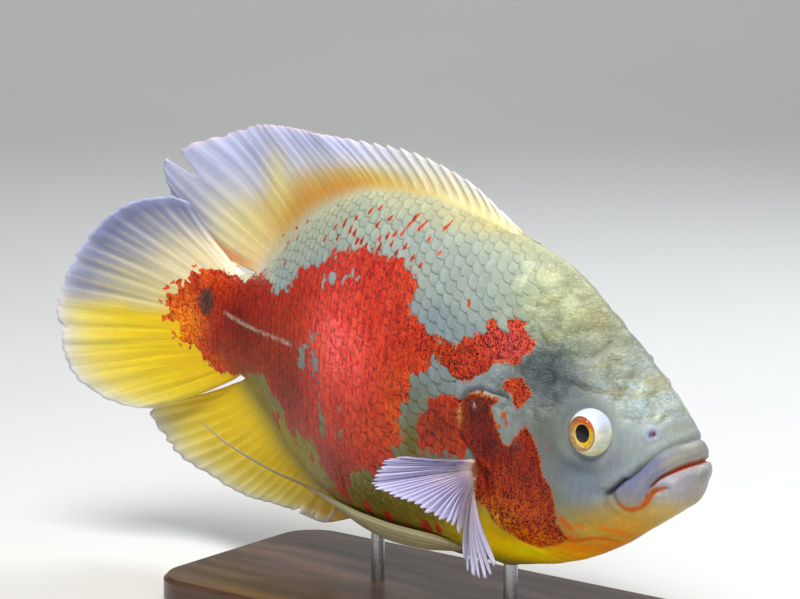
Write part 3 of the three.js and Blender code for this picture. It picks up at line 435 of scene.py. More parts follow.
SCALE_START = ([-60, -48, -40, -28, -14, 12, 16, 24, 32, 44, 58, 70], [80, 82, 84, 86, 87, 88, 82, 72, 68, 66, 68, 78])


def brow_weight(s, h):
    """Where the skin of the forehead and temple lies in small folds."""
    e = np.hypot(s - EYE[0], h - EYE[2])
    return smooth(10, 16, h + .12 * s) * smooth(6, 13, s) * smooth(84, 62, s) * smooth(0, 6, e - 9.5)


def folds(s, w, h):
    """Height of the puffed folds, about -.4 in a crease and .6 on a fold."""
    wob = .5 * np.stack([noise(np.stack([s / 6, h / 6, w / 9], 1), 3), noise(np.stack([s / 6, h / 6, w / 9], 1), 13), 0 * s], 1)
    puff = np.abs(noise(np.stack([s / 5.6 + h / 12, h / 3.6 - s / 12, w / 8], 1) + wob, 5)) ** .8
    small = np.abs(noise(np.stack([s / 3.2, h / 2.5 - s / 9, w / 5], 1) + wob, 6)) ** .8
    big = noise(np.stack([s / 13, h / 5.5 - s / 30, w / 14], 1) + wob, 15)
    tiny = np.abs(noise(np.stack([s / 2.4, h / 1.25 - s / 6, w / 4], 1) + 1.6 * wob, 26)) ** .8
    return (1.15 * (puff - .3) + .5 * (small - .3) + .14 * (tiny - .3) + .2 * big) * (.4 + .6 * smooth(2, 9, np.abs(w)))


def skull(s, w, h):
    """Outward relief of the head and flanks, in mm."""
    p = np.stack([s, h], 1)
    d = np.zeros(len(s))
    op = area_dist(p, PLATE)
    # the scaled part lies under its scales
    scaled = smooth(-8, 1, s - np.interp(h, *SCALE_START)) * smooth(-2.5, 1.5, -op)
    d -= .38 * scaled * smooth(244, 236, s)
    near = s < 34
    lip = area_dist(p, LIP)
    d += np.where(near, (.7 + .35 * smooth(12, 22, s)) * smooth(0, 2.4, lip), 0)
    g, _ = line_dist(p, GROOVE)
    d -= np.where(near, (.4 + .75 * smooth(8, 22, s)) * bell(g, .6), 0)
    d += np.where(near & (lip < 0) & (h > -12), .35 * bell(g - 2, 1.4), 0)
    mouth = area_dist(p, MOUTH)
    d -= np.where(near, 1.5 * smooth(-.3, .5, mouth), 0)
    d += np.where(near & (lip < 0) & (h < 0), .6 * bell(np.maximum(-mouth, 0) - 2.3, 1.7), 0)
    lb, _ = line_dist(p, BAND)
    d -= np.where(near, .7 * bell(lb, .75), 0)
    d += np.where(near & (lip < 0), .5 * bell(lb - 2.1, 1.2), 0)
    cr, _ = line_dist(p, [(12.4, -10.5), (8.1, -10.4), (5.2, -9.6)])
    d -= np.where(near, .3 * bell(cr, .55), 0)
    # jaw hinge hollow and the folds of the throat
    d -= .35 * bell(np.hypot(s - 29.5, (h + 14.5) * 1.2), 2.6)
    pr, side = line_dist(p, PREOPERCLE)
    d += -.6 * bell(pr, .55) + np.where(side * 1 > 0, 0, .45 * np.exp(-pr / 2.4)) * smooth(60, 56, s)
    d += .55 * smooth(0, 4, op) * smooth(50, 60, s)
    fl, _ = line_dist(p, FLAP)
    d += np.where(op > 0, .6 * bell(fl - 1.1, .95), 0)
    d -= np.where(op < 0, 1.9 * bell(fl - .4, .8), .2 * bell(fl, .3))
    ge, _ = line_dist(p, GILL_EDGE)
    k = .25 + .75 * smooth(-34, -24, h)
    d -= k * np.where(op > 0, .2 * bell(ge, .4), 1.1 * bell(ge - .4, .7))
    d += k * np.where(op > 0, .35 * bell(ge - 1, .9), .35 * bell(ge - 2.3, 1.1) * smooth(74, 66, s + 0 * h))
    fo, _ = line_dist(p, [(76, -13.4), (71.6, -13.2), (69.4, -14.4), (68.6, -18), (68.6, -23), (69.4, -27)])
    cl, _ = line_dist(p, [(74.8, -15.4), (72.8, -18), (72.2, -22), (73, -26)])
    d += .75 * bell(fo, .8) - 1.2 * bell(cl, 1.5)
    # eye socket: a shallow ring, and the bed under the eyeball
    e = np.sqrt((s - EYE[0]) ** 2 + (h - EYE[2]) ** 2)
    d -= .75 * bell(e - 8.0, 1.3)
    d += .5 * bell(e - 11, 2.0)
    d -= 5.2 * smooth(7.3, 5.6, e)
    # nostril: a pit in a small starry rim
    a = np.arctan2(h - 7.7, s - 15.1)
    nr = np.hypot(s - 15.1, h - 7.7)
    d += .28 * bell(nr - 1.9 - .3 * np.cos(5 * a + 1), .8) - 1.3 * smooth(1.05, .5, nr)
    # small puffed folds of the forehead, with creases between them
    brow = brow_weight(s, h)
    d += 1.0 * folds(s, w, h) * brow
    wob = .4 * noise(np.stack([s / 6, h / 6, w / 9], 1), 3)[:, None]
    d += .16 * (np.abs(noise(np.stack([s / 3, h / 3, w / 5], 1) + wob, 16)) - .25) * smooth(8, 16, s) * smooth(70, 50, s) * smooth(0, 5, e - 10) * smooth(-2, 8, h)
    # everything living is a little uneven
    d += .16 * noise(np.stack([s / 7, h / 7, w / 7], 1), 21) * smooth(4, 12, s)
    d += .05 * noise(np.stack([s / 1.9, h / 1.9, w / 1.9], 1), 22) * smooth(75, 55, s)
    # where the rods meet the belly
    for rs in (78, 142):
        d += 1.0 * bell(np.hypot(s - rs, w), 4.0) * (h < -30)
    return d


def body_part():
    """Close stations on the head, a coarser net under the scales, and a rounded tip in front."""
    n = 280
    fine = np.arange(2.6, 88.01, .05)
    speed = np.sqrt(1 + np.maximum.reduce([np.gradient(f(fine), fine) ** 2 * .8 for f in (top, bottom, half)]))
    want = np.interp(fine, [2.6, 30, 62, 88], [.46, .58, .68, .8]) * 1
    cum = np.concatenate([[0], np.cumsum((speed / want)[:-1] * .05)])
    head = np.interp(np.linspace(0, cum[-1], int(cum[-1]) + 1), cum, fine)
    trunk = np.concatenate([np.arange(90.1, 231, 2.2), np.linspace(232.4, 240, 7)])
    # even spacing round the ring is by angle, closer together on the side of the face
    k = (np.arange(n) + .5) / n * 2 * np.pi
    phi = k + .16 * np.sin(2 * k)
    phi = np.where(phi > np.pi, phi - 2 * np.pi, phi)
    P = []
    for st, ph in ((head, phi), (trunk, phi[::2])):
        S, F = np.meshgrid(st, ph, indexing="ij")
        q = body_point(S.ravel(), F.ravel())
        P.append(q + body_normal(S.ravel(), F.ravel()) * skull(*q.T)[:, None])
    m1, m2, c = len(head), len(trunk), n // 2
    v = np.concatenate(P)

    def quads(first, rows, wide):
        i, j = [a.ravel() for a in np.meshgrid(np.arange(rows - 1), np.arange(wide), indexing="ij")]
        a, b = first + i * wide + j, first + i * wide + (j + 1) % wide
        return np.stack([a, b, b + wide, a + wide], 1)
    four = [quads(0, m1, n), quads(m1 * n, m2, c)]
    j = np.arange(c)
    f0, f1, f2 = (m1 - 1) * n + 2 * j, (m1 - 1) * n + 2 * j + 1, (m1 - 1) * n + (2 * j + 2) % n
    c0, c1 = m1 * n + j, m1 * n + (j + 1) % c
    tris = [np.stack([f0, f1, c0], 1), np.stack([f1, c1, c0], 1), np.stack([f1, f2, c1], 1)]
    # front cap
    first = v[:n]
    mid = first.mean(0)
    rings, steps = [], 7
    for t in np.linspace(0, 1, steps + 1)[1:-1]:
        ang = t * np.pi / 2
        r = mid + (first - mid) * math.cos(ang)
        r[:, 0] -= 1.1 * math.sin(ang)
        r[:, 0] += 1.1 * bell(r[:, 2] + 1.1, .7) * (1 - t)
        rings.append(r)
    tip = mid.copy()
    tip[0] -= 1.1
    base = len(v)
    v = np.concatenate([v] + rings + [tip[None]])
    prev = np.arange(n)
    for r in range(len(rings)):
        cur = base + r * n + np.arange(n)
        four.append(np.stack([cur, np.roll(cur, -1), np.roll(prev, -1), prev], 1))
        prev = cur
    tris.append(np.stack([np.full(n, len(v) - 1), np.roll(prev, -1), prev], 1))
    # rear cap
    last = m1 * n + (m2 - 1) * c + np.arange(c)
    v = np.concatenate([v, v[last].mean(0)[None]])
    tris.append(np.stack([np.full(c, len(v) - 1), last, np.roll(last, -1)], 1))
    faces = [np.concatenate(four), np.concatenate(tris)]
    return v, face_out(v, faces)


# ------------------------------------------------------------------ fins
DORSAL_ROOT = [[u, s, float(top(s)) - .6] for u, s in zip([0, .15, .35, .55, .75, .9, 1], [81, 98, 124, 151, 180, 202, 212.5])]
DORSAL_TIP = [[0, 88, 66.5], [.15, 109, 77.5], [.35, 141, 83.2], [.55, 177, 82.2], [.72, 213, 80.8], [.84, 240, 72.4], [.93, 264.5, 59], [1, 260, 45.4]]
ANAL_ROOT = [[u, s, float(bottom(s)) + .6] for u, s in zip([0, .25, .5, .75, 1], [162, 176, 190, 204, 219])]
ANAL_TIP = [[0, 165, -57], [.07, 171.5, -62.2], [.16, 182, -61.9], [.28, 196, -62.2], [.5, 221, -63.8], [.66, 243, -59.5], [.76, 254, -54.8],
            [.86, 261.5, -47.8], [.94, 267, -40.5], [1, 264, -37.2]]
CAUDAL_ROOT = [[0, 222, 21.8], [.15, 231, 17], [.3, 235, 11], [.5, 237, 3], [.7, 235, -5], [.85, 230, -11], [1, 222, -16]]
CAUDAL_TIP = [[0, 249.4, 46.1], [.05, 256.5, 47.9], [.11, 266, 46.4], [.2, 278, 41.3], [.31, 288, 32], [.42, 295.6, 21], [.51, 300.6, 9],
              [.59, 303, -1.5], [.66, 301, -9], [.74, 300, -17], [.82, 295, -26.4], [.89, 285, -33], [.95, 274, -36.2], [1, 263, -36.6]]


def lobe_lean(s):
    return -9 * (np.maximum(0, s - 205) / 60) ** 2


def ray_columns(n, offs, where=lambda x: x):
    """u of every column of a fin of n rays, with each column's place between its two rays."""
    u, off, count = [], [], []
    for k in range(n):
        for o in offs:
            u.append(float(where((k + .5 + o) / n)))
            off.append(o)
            count.append(k + .5 + o)
    u, off, count = np.array(u), np.array(off), np.array(count)
    if u[0] <= 1e-6:
        u, off, count = u[1:], off[1:], count[1:]
    return np.concatenate([[0], u, [1]]), np.concatenate([[-.5], off, [.5]]), np.concatenate([[0], count, [n]])


SIX, FIVE, FOUR = [-.5, -.28, -.12, 0, .12, .28], [-.5, -.25, -.09, .09, .25], [-.5, -.2, 0, .2]


def ridge(off, v, wide=.15):
    """Height of a ray across a fin, broader and lower towards the free edge."""
    return bell(off, wide + .08 * np.clip(v, 0, 1)) * (1 - .35 * np.clip(v, 0, 1))


def fan(roots, tips, u, v, lean, curl, sink, reach):
    """Grid of a fin; reach is how far each column goes towards the free edge."""
    rs, rh = curve([p[:2] for p in roots])(u), curve([[p[0], p[2]] for p in roots])(u)
    ts, th = curve([p[:2] for p in tips])(u), curve([[p[0], p[2]] for p in tips])(u)
    L = np.maximum(np.hypot(ts - rs, th - rh), 1e-6)
    dx, dy = (ts - rs) / L, (th - rh) / L
    V = v[None, :] * reach[:, None]
    run = V * (L[:, None] + sink) - sink
    bow = curl[:, None] * np.sin(np.pi * V) * L[:, None]
    s = rs[:, None] + dx[:, None] * run - dy[:, None] * bow
    h = rh[:, None] + dy[:, None] * run + dx[:, None] * bow
    return np.stack([s, lean(s), h], -1), V, np.maximum(run, 0)


def fin_parts():
    parts = []
    q = 1

    # dorsal: stiff spines in front with a toothed edge, soft rays behind
    rays, spines = 34, 13
    u, off, ray = ray_columns(rays, SIX[::q], lambda x: np.interp(x, [0, spines / rays, 1], [0, .52, 1]))
    v = np.concatenate([[0], 1 - (1 - np.linspace(.05, 1, 20)) ** 1.15])
    front = smooth(.6, .42, u)
    tooth = (.085 * front + .014) * np.abs(off * 2) ** 1.3
    reach = 1 - tooth - .22 * np.maximum(0, 1 - np.abs(u - .905) / .011) ** .8
    reach -= .016 * np.maximum(0, noise(np.stack([u * 60, u * 0, u * 0 + 3], 1), 4)) * smooth(.6, .8, u)
    g, V, run = fan(DORSAL_ROOT, DORSAL_TIP, u, v, lobe_lean, np.interp(u, [0, .86, 1], [.03, .03, -.16]), 3, reach)
    O, U, R = off[:, None] + 0 * V, u[:, None] + 0 * V, ray[:, None] + 0 * V
    soft = smooth(.42, .6, U)
    th = .32 + 2.2 * np.exp(-run / 3.2) * smooth(0, .06, U + .02) + (.26 - .16 * soft) * ridge(O, V, .13) * (1 - .5 * V)
    th = np.minimum(th, np.interp(run, [0, 4, 12], [2.6, 2.0, 1.5])) * (1 - .62 * smooth(.93, 1.0, v[None, :] + 0 * V))
    wave = .26 * np.sin(2 * np.pi * R / 3.2 + 2.2 * V) * V ** 1.6 * soft + (.26 - .2 * soft) * np.cos(2 * np.pi * O) * smooth(.1, .6, V)
    g[..., 1] += wave + (1.5 * np.sin(15 * (U - .55) + 1.3 * V) + .5 * np.sin(41 * U + 3 * V)) * V ** 1.5 * soft * smooth(1.0, .9, U)
    parts.append(("dorsal", *plate(g, th), U, V, O, R))

    # anal fin
    rays = 20
    u, off, ray = ray_columns(rays, SIX[::q])
    v = np.concatenate([[0], 1 - (1 - np.linspace(.05, 1, 18)) ** 1.15])
    reach = 1 - .016 * np.abs(off * 2) - .015 * np.maximum(0, noise(np.stack([u * 50, u * 0, u * 0 + 7], 1), 4))
    reach -= .2 * np.maximum(0, 1 - np.abs(u - .125) / .02) + .14 * np.maximum(0, 1 - np.abs(u - .205) / .018)
    g, V, run = fan(ANAL_ROOT, ANAL_TIP, u, v, lobe_lean, -.02 + 0 * u, 3, reach)
    O, U, R = off[:, None] + 0 * V, u[:, None] + 0 * V, ray[:, None] + 0 * V
    th = .32 + 2.1 * np.exp(-run / 3.4) + .17 * ridge(O, V) * (1 - .5 * V)
    th = np.minimum(th, np.interp(run, [0, 4, 12], [2.4, 1.9, 1.4])) * (1 - .62 * smooth(.93, 1.0, v[None, :] + 0 * V))
    g[..., 1] += .2 * np.sin(2 * np.pi * R / 3.0 + 2 * V) * V ** 1.5 + .07 * np.cos(2 * np.pi * O) * V
    g[..., 1] += 1.3 * np.sin(2 * np.pi * U / .085) * smooth(.26, .12, U) * V ** 1.5
    parts.append(("anal", *plate(g, th), U, V, O, R))

    # tail fin: a broad fan in low soft folds
    rays = 28
    u, off, ray = ray_columns(rays, FIVE if q == 1 else FOUR)
    v = np.concatenate([[0], 1 - (1 - np.linspace(.03, 1, 26 // q)) ** 1.1])
    reach = 1 - .008 * np.abs(off * 2) ** 1.5 - .04 * np.maximum(0, 1 - np.abs(u - .655) / .012) - .018 * np.maximum(0, 1 - np.abs(u - .43) / .01)
    reach -= .009 * np.maximum(0, noise(np.stack([u * 45, u * 0, u * 0 + 9], 1), 4))
    curl = -.08 * np.maximum(0, 1 - u / .14) - .035 * np.maximum(0, (u - .88) / .12)
    g, V, run = fan(CAUDAL_ROOT, CAUDAL_TIP, u, v, lambda s: 0 * s, curl, 4, reach)
    O, U, R = off[:, None] + 0 * V, u[:, None] + 0 * V, ray[:, None] + 0 * V
    side = np.sqrt(np.sin(np.pi * np.clip(U, 0, 1)))
    th = (.45 + .55 * side) * 4.1 * (1 - V) ** 2.6 + .26 + .1 * ridge(O, V) * (1 - .5 * V) * smooth(0, .2, V)
    th = th * (1 - .6 * smooth(.95, 1.0, v[None, :] + 0 * V))
    turn = np.sin(2 * np.pi * (U * 13.5 + .18 * np.sin(6 * V))) + .5 * np.sin(2 * np.pi * (U * 7.3 + .2)) + .35 * np.sin(2 * np.pi * (U * 21.1 + .3 * V))
    g[..., 1] += (.2 * turn * smooth(.12, .75, V) * smooth(1.06, .9, V * .9) + 1.5 * np.sin(np.pi * 2.2 * U + .6) * V ** 2) * smooth(0, .03, U) * smooth(0, .03, 1 - U)
    parts.append(("caudal", *plate(g, th), U, V, O, R))

    # pectorals: many fine rays, the lowest of them free of the membrane
    root0, root1, mid = np.array([76.2, 23, -12.4]), np.array([78.6, 22.2, -20.4]), np.array([77.6, 22.4, -16.2])
    tip = [[0, 11.2, 24, 6.5], [.1, 14.4, 28.5, 5.3], [.2, 15.6, 32, 1.8], [.3, 15.7, 34, -2.4], [.42, 9.6, 32, -4.8], [.54, 2.4, 28.5, -7.2],
           [.65, -3.1, 22.6, -11.6], [.76, -6.8, 15.6, -16.3], [.82, -7.4, 10.5, -30.8], [.88, -9.8, 7.6, -33.8], [.94, -12.2, 5, -34], [1, -14.4, 2.5, -28]]
    rays = 32
    u, off, ray = ray_columns(rays, FOUR)
    v = np.concatenate([[0], np.linspace(.06, 1, 20 // q)])
    gap = np.interp(u, [0, .1, .5, .7, .78, .84, 1], [.03, .04, .05, .08, .36, .42, .36])
    reach = 1 - gap * smooth(.22, .4, np.abs(off)) - .04 * np.maximum(0, noise(np.stack([u * 33, u * 0, u * 0 + 5], 1), 6))
    for side, name in ((1, "pectoral_r"), (-1, "pectoral_l")):
        tp = np.stack([curve([[p[0], p[k]] for p in tip])(u) for k in (1, 2, 3)], 1) + mid
        rt = root0 + (root1 - root0) * u[:, None]
        V = v[None, :] * reach[:, None]
        g = rt[:, None] + (tp - rt)[:, None] * V[..., None]
        O, U, R = off[:, None] + 0 * V, u[:, None] + 0 * V, ray[:, None] + 0 * V
        bundle = np.sin(2 * np.pi * R / 2.6 + 1.2 * np.sin(R * .9))
        g[..., 1] += 1.6 * np.sin(np.pi * V) - 2.4 * smooth(.06, 0, V) + (.3 * np.cos(2 * np.pi * O) + .45 * bundle) * smooth(.1, .5, V)
        g[..., 0] += .2 * np.cos(2 * np.pi * O) * smooth(.1, .4, V)
        g[..., 2] -= 2.2 * np.sin(np.pi * V) * smooth(.76, .9, U)
        g[..., 1] *= side
        th = .14 + .26 * ridge(O, V, .14) * (1 - .3 * V) + 1.5 * np.exp(-V * 16) + .25 * np.exp(-V * 4)
        th *= 1 - .5 * smooth(.95, 1, v[None, :] + 0 * V)
        parts.append((name, *plate(g, th), U, V, O, R))

    # pelvics: narrow folded blades trailing into a filament
    right = [[91, 10.6, -49.2, 1.4, 1.1, 30], [97, 13, -49, 3.4, 1.1, 30], [108, 14.2, -49.9, 4.6, .9, 28], [124, 13.8, -50.8, 4.8, .8, 26], [138, 12, -50.6, 3.8, .8, 22],
             [150, 9.6, -49.8, 2.2, .7, 14], [160, 7.4, -49.3, 1.2, .65, 6], [177, 4.8, -48.6, .6, .6, 0], [193, 3.8, -48.4, .5, .5, 0], [210, 3.2, -47, .45, .45, 0],
             [227, 2.6, -44.2, .4, .4, 0], [240, 2.2, -38.4, .35, .35, 0]]
    left = [[91, 10.6, -49.8, 1.4, 1.1, 30], [97, 12.4, -49.8, 3.2, 1.1, 26], [110, 12, -50.6, 4.2, .9, 20], [128, 10.2, -51.6, 4.4, .8, 12], [146, 8.4, -52.4, 3.6, .8, 6],
            [158, 7.4, -54.8, 2.6, .7, 2], [168, 6.8, -58.6, 2.6, .65, 0], [177, 6.3, -61.9, 2.6, .6, 0], [185, 6, -63.6, 1.6, .5, 0], [191, 5.8, -64.4, .6, .4, 0]]
    for table, side, name in ((right, 1, "pelvic_r"), (left, -1, "pelvic_l")):
        f = [curve([[r[0], r[k]] for r in table]) for k in (1, 2, 3, 4, 5)]
        m, n = (84 if side == 1 else 62) // q, 28
        s = np.linspace(table[0][0], table[-1][0], m)
        w0, h0, a, b, lean = [g(s) for g in f]
        t = np.radians(lean)
        ang = np.linspace(0, 2 * np.pi, n, endpoint=False)
        A, S = np.meshgrid(ang, s)
        X, Y = b[:, None] * np.sin(A), a[:, None] * np.cos(A)
        wide = smooth(1.2, 3.4, a)[:, None]
        Y0 = np.cos(A)
        X = X * (.75 + wide * .45 * np.cos(Y0 * 5 * np.pi) ** 2) + wide * .6 * np.sin(Y0 * 2.6 + .4)
        P = np.stack([S, side * (w0[:, None] + X * np.cos(t)[:, None] + Y * np.sin(t)[:, None]), h0[:, None] + Y * np.cos(t)[:, None] - X * np.sin(t)[:, None]], -1)
        pv = P.reshape(-1, 3)
        i, j = [x.ravel() for x in np.meshgrid(np.arange(m - 1), np.arange(n), indexing="ij")]
        aa, bb = i * n + j, i * n + (j + 1) % n
        quads = np.stack([aa, bb, bb + n, aa + n], 1)
        c0, c1 = pv[:n].mean(0), pv[-n:].mean(0)
        pv = np.concatenate([pv, c0[None], c1[None]])
        k0, k1 = np.arange(n), (m - 1) * n + np.arange(n)
        tris = np.concatenate([np.stack([np.full(n, len(pv) - 2), np.roll(k0, -1), k0], 1), np.stack([np.full(n, len(pv) - 1), k1, np.roll(k1, -1)], 1)])
        uu = np.concatenate([((Y0 + 1) / 2).ravel(), [.5, .5]])
        vv = np.concatenate([((S - s[0]) / (s[-1] - s[0])).ravel(), [0, 1]])
        parts.append((name, pv, face_out(pv, [quads, tris]), uu, vv, uu * 0, uu * 7))
    return parts


# ------------------------------------------------------------------ fin paint
def mix(a, b, k):
    return a + (b - a) * np.clip(k, 0, 1)[:, None]


def ramp(x, stops):
    cols = np.array([linear(c) for _, c in stops])
    return np.stack([np.interp(x, [s[0] for s in stops], cols[:, k]) for k in range(3)], 1)


def flat(hexa, c):
    return np.tile(linear(hexa), (len(c), 1))


def fin_paint(kind, p, u, v, off):
    s, w, h = p.T
    rib = ridge(off, v)
    blot = noise(np.stack([u * 9, v * 3, 0 * u], 1), 23)
    if kind == "dorsal":
        front = ramp(v, [(0, "#efe2a4"), (.2, "#e9d894"), (.4, "#dccf92"), (.62, "#dcd8bc"), (.85, "#d2d2de"), (.96, "#d6cfe2"), (1, "#dcb0ac")])
        mid = ramp(v, [(0, "#dcc484"), (.2, "#c4a448"), (.36, "#c8b068"), (.52, "#cccabc"), (.7, "#c6c8e2"), (.95, "#ccd0ee"), (1, "#dcb4a4")])
        rear = ramp(v, [(0, "#bc7c28"), (.2, "#c48c34"), (.36, "#c8a868"), (.52, "#c0bfc8"), (.8, "#b8bce0"), (.96, "#c8ccec"), (1, "#dcb8ae")])
        last = ramp(v, [(0, "#eac48a"), (.25, "#e4cc8e"), (.5, "#d8cfa0"), (.72, "#bcbccc"), (.95, "#b4b8d6"), (1, "#c8cbe2")])
        c = mix(front, mid, smooth(.2, .42, u))
        c = mix(c, rear, smooth(.46, .62, u))
        c = mix(c, last, smooth(.84, .93, u + .02 * blot))
        c = mix(c, flat("#dcd078", c), .75 * bell(u - .80 + .16 * (v - .5), .035) * bell(v - .48, .26))
        c = mix(c, flat("#e2d68c", c), .5 * bell(u - .9, .03) * bell(v - .35, .25))
        c = mix(c, flat("#c9602c", c), .75 * bell(u - .985, .013) * bell(v - .38, .24))
        # painted shade between the rays: grey-blue on the soft rear part, grey-olive between the spines in front
        c = mix(c, flat("#8188a4", c), .36 * (1 - rib) * smooth(.35, .8, v) * smooth(.6, .85, u))
        c = mix(c, flat("#b3ac8c", c), .45 * (1 - rib) * smooth(.1, .3, v) * smooth(.5, .35, u))
        c = mix(c, flat("#f3eed4", c), .6 * rib * smooth(.1, .3, v) * smooth(.55, .35, u))
        c = mix(c, flat("#e8e6f0", c), .25 * rib * smooth(.3, .6, v) * smooth(.45, .7, u))
    elif kind == "anal":
        c = ramp(v, [(0, "#a8901c"), (.15, "#c2a212"), (.4, "#dcb80e"), (.65, "#dfc022"), (.82, "#dcca5c"), (.93, "#d6cfa0"), (1, "#d2d4e2")])
        c = mix(c, flat("#f0cc10", c), .6 * smooth(.45, .8, u) * smooth(.9, .5, v))
        c = mix(c, flat("#98801a", c), .28 * (1 - rib) * smooth(.2, .6, v))
        c = mix(c, flat("#ece4a8", c), .3 * rib * smooth(.4, .8, v))
        tab = smooth(.25, .2, u)
        c = mix(c, ramp(v, [(0, "#a0842c"), (.4, "#c8a02c"), (.75, "#dcb84a"), (.93, "#e8e0cc"), (1, "#f0f0f4")]), tab * .9)
    elif kind == "caudal":
        upc = ramp(v, [(0, "#f0dcb4"), (.25, "#e6d4a4"), (.5, "#dacca4"), (.72, "#9c9ca8"), (.9, "#6c7298"), (.975, "#888eb0"), (1, "#b4b8d0")])
        mid = ramp(v, [(0, "#e4be60"), (.35, "#d2c078"), (.65, "#c8bc88"), (.88, "#9496a8"), (.975, "#aeb4cc"), (1, "#c8cade")])
        low = ramp(v, [(0, "#ecac0a"), (.25, "#e8c00c"), (.6, "#e6cc2c"), (.82, "#e4d464"), (.94, "#d8d2a8"), (1, "#dcdae4")])
        uu = u + .02 * noise(np.stack([v * 6, u * 3, u * 0], 1), 2)
        c = mix(upc, mid, smooth(.28, .48, uu))
        c = mix(c, low, smooth(.5, .575, uu))
        upper = smooth(.58, .5, u)
        # painted shade in the grooves between the rays, grey-blue on the upper lobe and deeper yellow below; the rays
        # between them are paler
        c = mix(c, flat("#6f7896", c), upper * .38 * (1 - rib) * smooth(.3, .75, v) * smooth(1, .93, v))
        c = mix(c, flat("#efe4bc", c), upper * .35 * rib * smooth(.2, .5, v) * smooth(1, .8, v))
        c = mix(c, flat("#d8a404", c), (1 - upper) * .2 * (1 - rib) * smooth(.1, .4, v) * smooth(1, .75, v))
        # a painted highlight along the upper edge of the tail fin's base
        c = mix(c, flat("#fbeccc", c), .9 * smooth(.11, .03, u) * smooth(.8, .2, v))
    elif kind.startswith("pectoral"):
        c = ramp(v, [(0, "#c89884"), (.07, "#ccb0a8"), (.2, "#9486a4"), (.5, "#7c74a2"), (.85, "#8c86b4"), (1, "#aca8d4")])
        c = mix(c, flat("#a88490", c), .4 * bell(u - .42, .12) * bell(v - .3, .2))
        c = mix(c, flat("#dcd8e8", c), .95 * np.clip(ridge(off, v, .09) * 1.3, 0, 1) * smooth(.08, .25, v))
        c = mix(c, ramp(v, [(0, "#ccb4a8"), (.4, "#b8aeb8"), (.7, "#b4b0c0"), (1, "#d4d4e4")]), .6 * smooth(.7, .8, u))
    else:
        c = ramp(v, [(0, "#8c7434"), (.12, "#a89c68"), (.42, "#a49862"), (.58, "#847a58"), (.8, "#8a8672"), (1, "#9c988a")])
        c = mix(c, flat("#f0ead0", c), .5 * bell(np.cos(u * 5 * np.pi), .5) * smooth(.6, .4, v))
        # painted shade on the upper side of the front half, next to the belly
        c = mix(c, flat("#8a8462", c), .5 * smooth(.55, .9, u) * smooth(.5, .3, v))
        if kind == "pelvic_l":
            c = ramp(v, [(0, "#b8a050"), (.4, "#c4a04a"), (.7, "#d2a844"), (.9, "#e0c880"), (1, "#f0ecdc")])
    return c


# ------------------------------------------------------------------ build skin
def raw_mesh(name, v, faces):
    me = bpy.data.meshes.new(name)
    counts = np.concatenate([np.full(len(f), f.shape[1]) for f in faces])
    loops = np.concatenate([f.ravel() for f in faces]).astype(np.int32)
    me.vertices.add(len(v))
    me.vertices.foreach_set("co", np.asarray(v, np.float32).ravel())
    me.loops.add(len(loops))
    me.loops.foreach_set("vertex_index", loops)
    me.polygons.add(len(counts))
    me.polygons.foreach_set("loop_start", np.concatenate([[0], np.cumsum(counts)[:-1]]).astype(np.int32))
    me.polygons.foreach_set("loop_total", counts.astype(np.int32))
    me.update(calc_edges=True)
    me.validate()
    return me


def put(name, me):
    ob = bpy.data.objects.new(name, me)
    bpy.context.scene.collection.objects.link(ob)
    return ob


def set_attr(me, name, kind, data, domain="POINT"):
    a = me.attributes.new(name, kind, domain)
    key = {"FLOAT": "value", "FLOAT_VECTOR": "vector", "FLOAT_COLOR": "color"}[kind]
    data = np.asarray(data, np.float32)
    if kind == "FLOAT_COLOR":
        data = np.concatenate([data, np.ones((len(data), 1), np.float32)], 1)
    a.data.foreach_set(key, data.ravel())


def paint_mesh(me, rest, base, red, redcol, dots, edge, extra, finr):
    """extra holds dashes, raggedness and skin folds; finr holds a fin's ray count, reach and weight."""
    set_attr(me, "rest", "FLOAT_VECTOR", rest)
    set_attr(me, "base", "FLOAT_COLOR", np.clip(base, 0, 1))
    set_attr(me, "redcol", "FLOAT_COLOR", np.clip(redcol, 0, 1))
    set_attr(me, "red", "FLOAT", np.clip(red, -12, 12))
    set_attr(me, "dots", "FLOAT", dots)
    set_attr(me, "edge", "FLOAT", edge)
    set_attr(me, "extra", "FLOAT_VECTOR", extra)
    set_attr(me, "finr", "FLOAT_VECTOR", finr)


def shade_smooth(me):
    me.polygons.foreach_set("use_smooth", np.ones(len(me.polygons), bool))
    me.update()


bv, bf = body_part()
fins = fin_parts()
src_v, src_kind, src_uvo = [bv], [np.zeros(len(bv), int)], [np.zeros((len(bv), 4))]
skin = put("skin", raw_mesh("skin", bv * .001, bf))
for k, (kind, v, faces, U, V, O, R) in enumerate(fins):
    src_v.append(v)
    src_kind.append(np.full(len(v), k + 1))
    uvo = np.stack([np.ravel(U), np.ravel(V), np.ravel(O), np.ravel(R)], 1)
    if len(uvo) * 2 == len(v):
        uvo = np.concatenate([uvo, uvo])
    src_uvo.append(uvo)
    tool = put("fin_tool", raw_mesh("fin_tool", v * .001, faces))
    mod = skin.modifiers.new("join", "BOOLEAN")
    mod.operation, mod.object = "UNION", tool
    mod.solver = "MANIFOLD"
    dg = bpy.context.evaluated_depsgraph_get()
    before = len(skin.data.vertices)
    merged = bpy.data.meshes.new_from_object(skin.evaluated_get(dg))
    skin.modifiers.remove(mod)
    old = skin.data
    skin.data = merged
    bpy.data.meshes.remove(old)
    tm = tool.data
    bpy.data.objects.remove(tool)
    bpy.data.meshes.remove(tm)
    print("joined", kind, before, len(v), "->", len(skin.data.vertices))
me = skin.data
me.name = "skin"
rest = np.zeros(len(me.vertices) * 3, np.float32)
me.vertices.foreach_get("co", rest)
rest = rest.reshape(-1, 3).astype(float) * 1000
SRC_V, SRC_K, SRC_U = np.concatenate(src_v), np.concatenate(src_kind), np.concatenate(src_uvo)
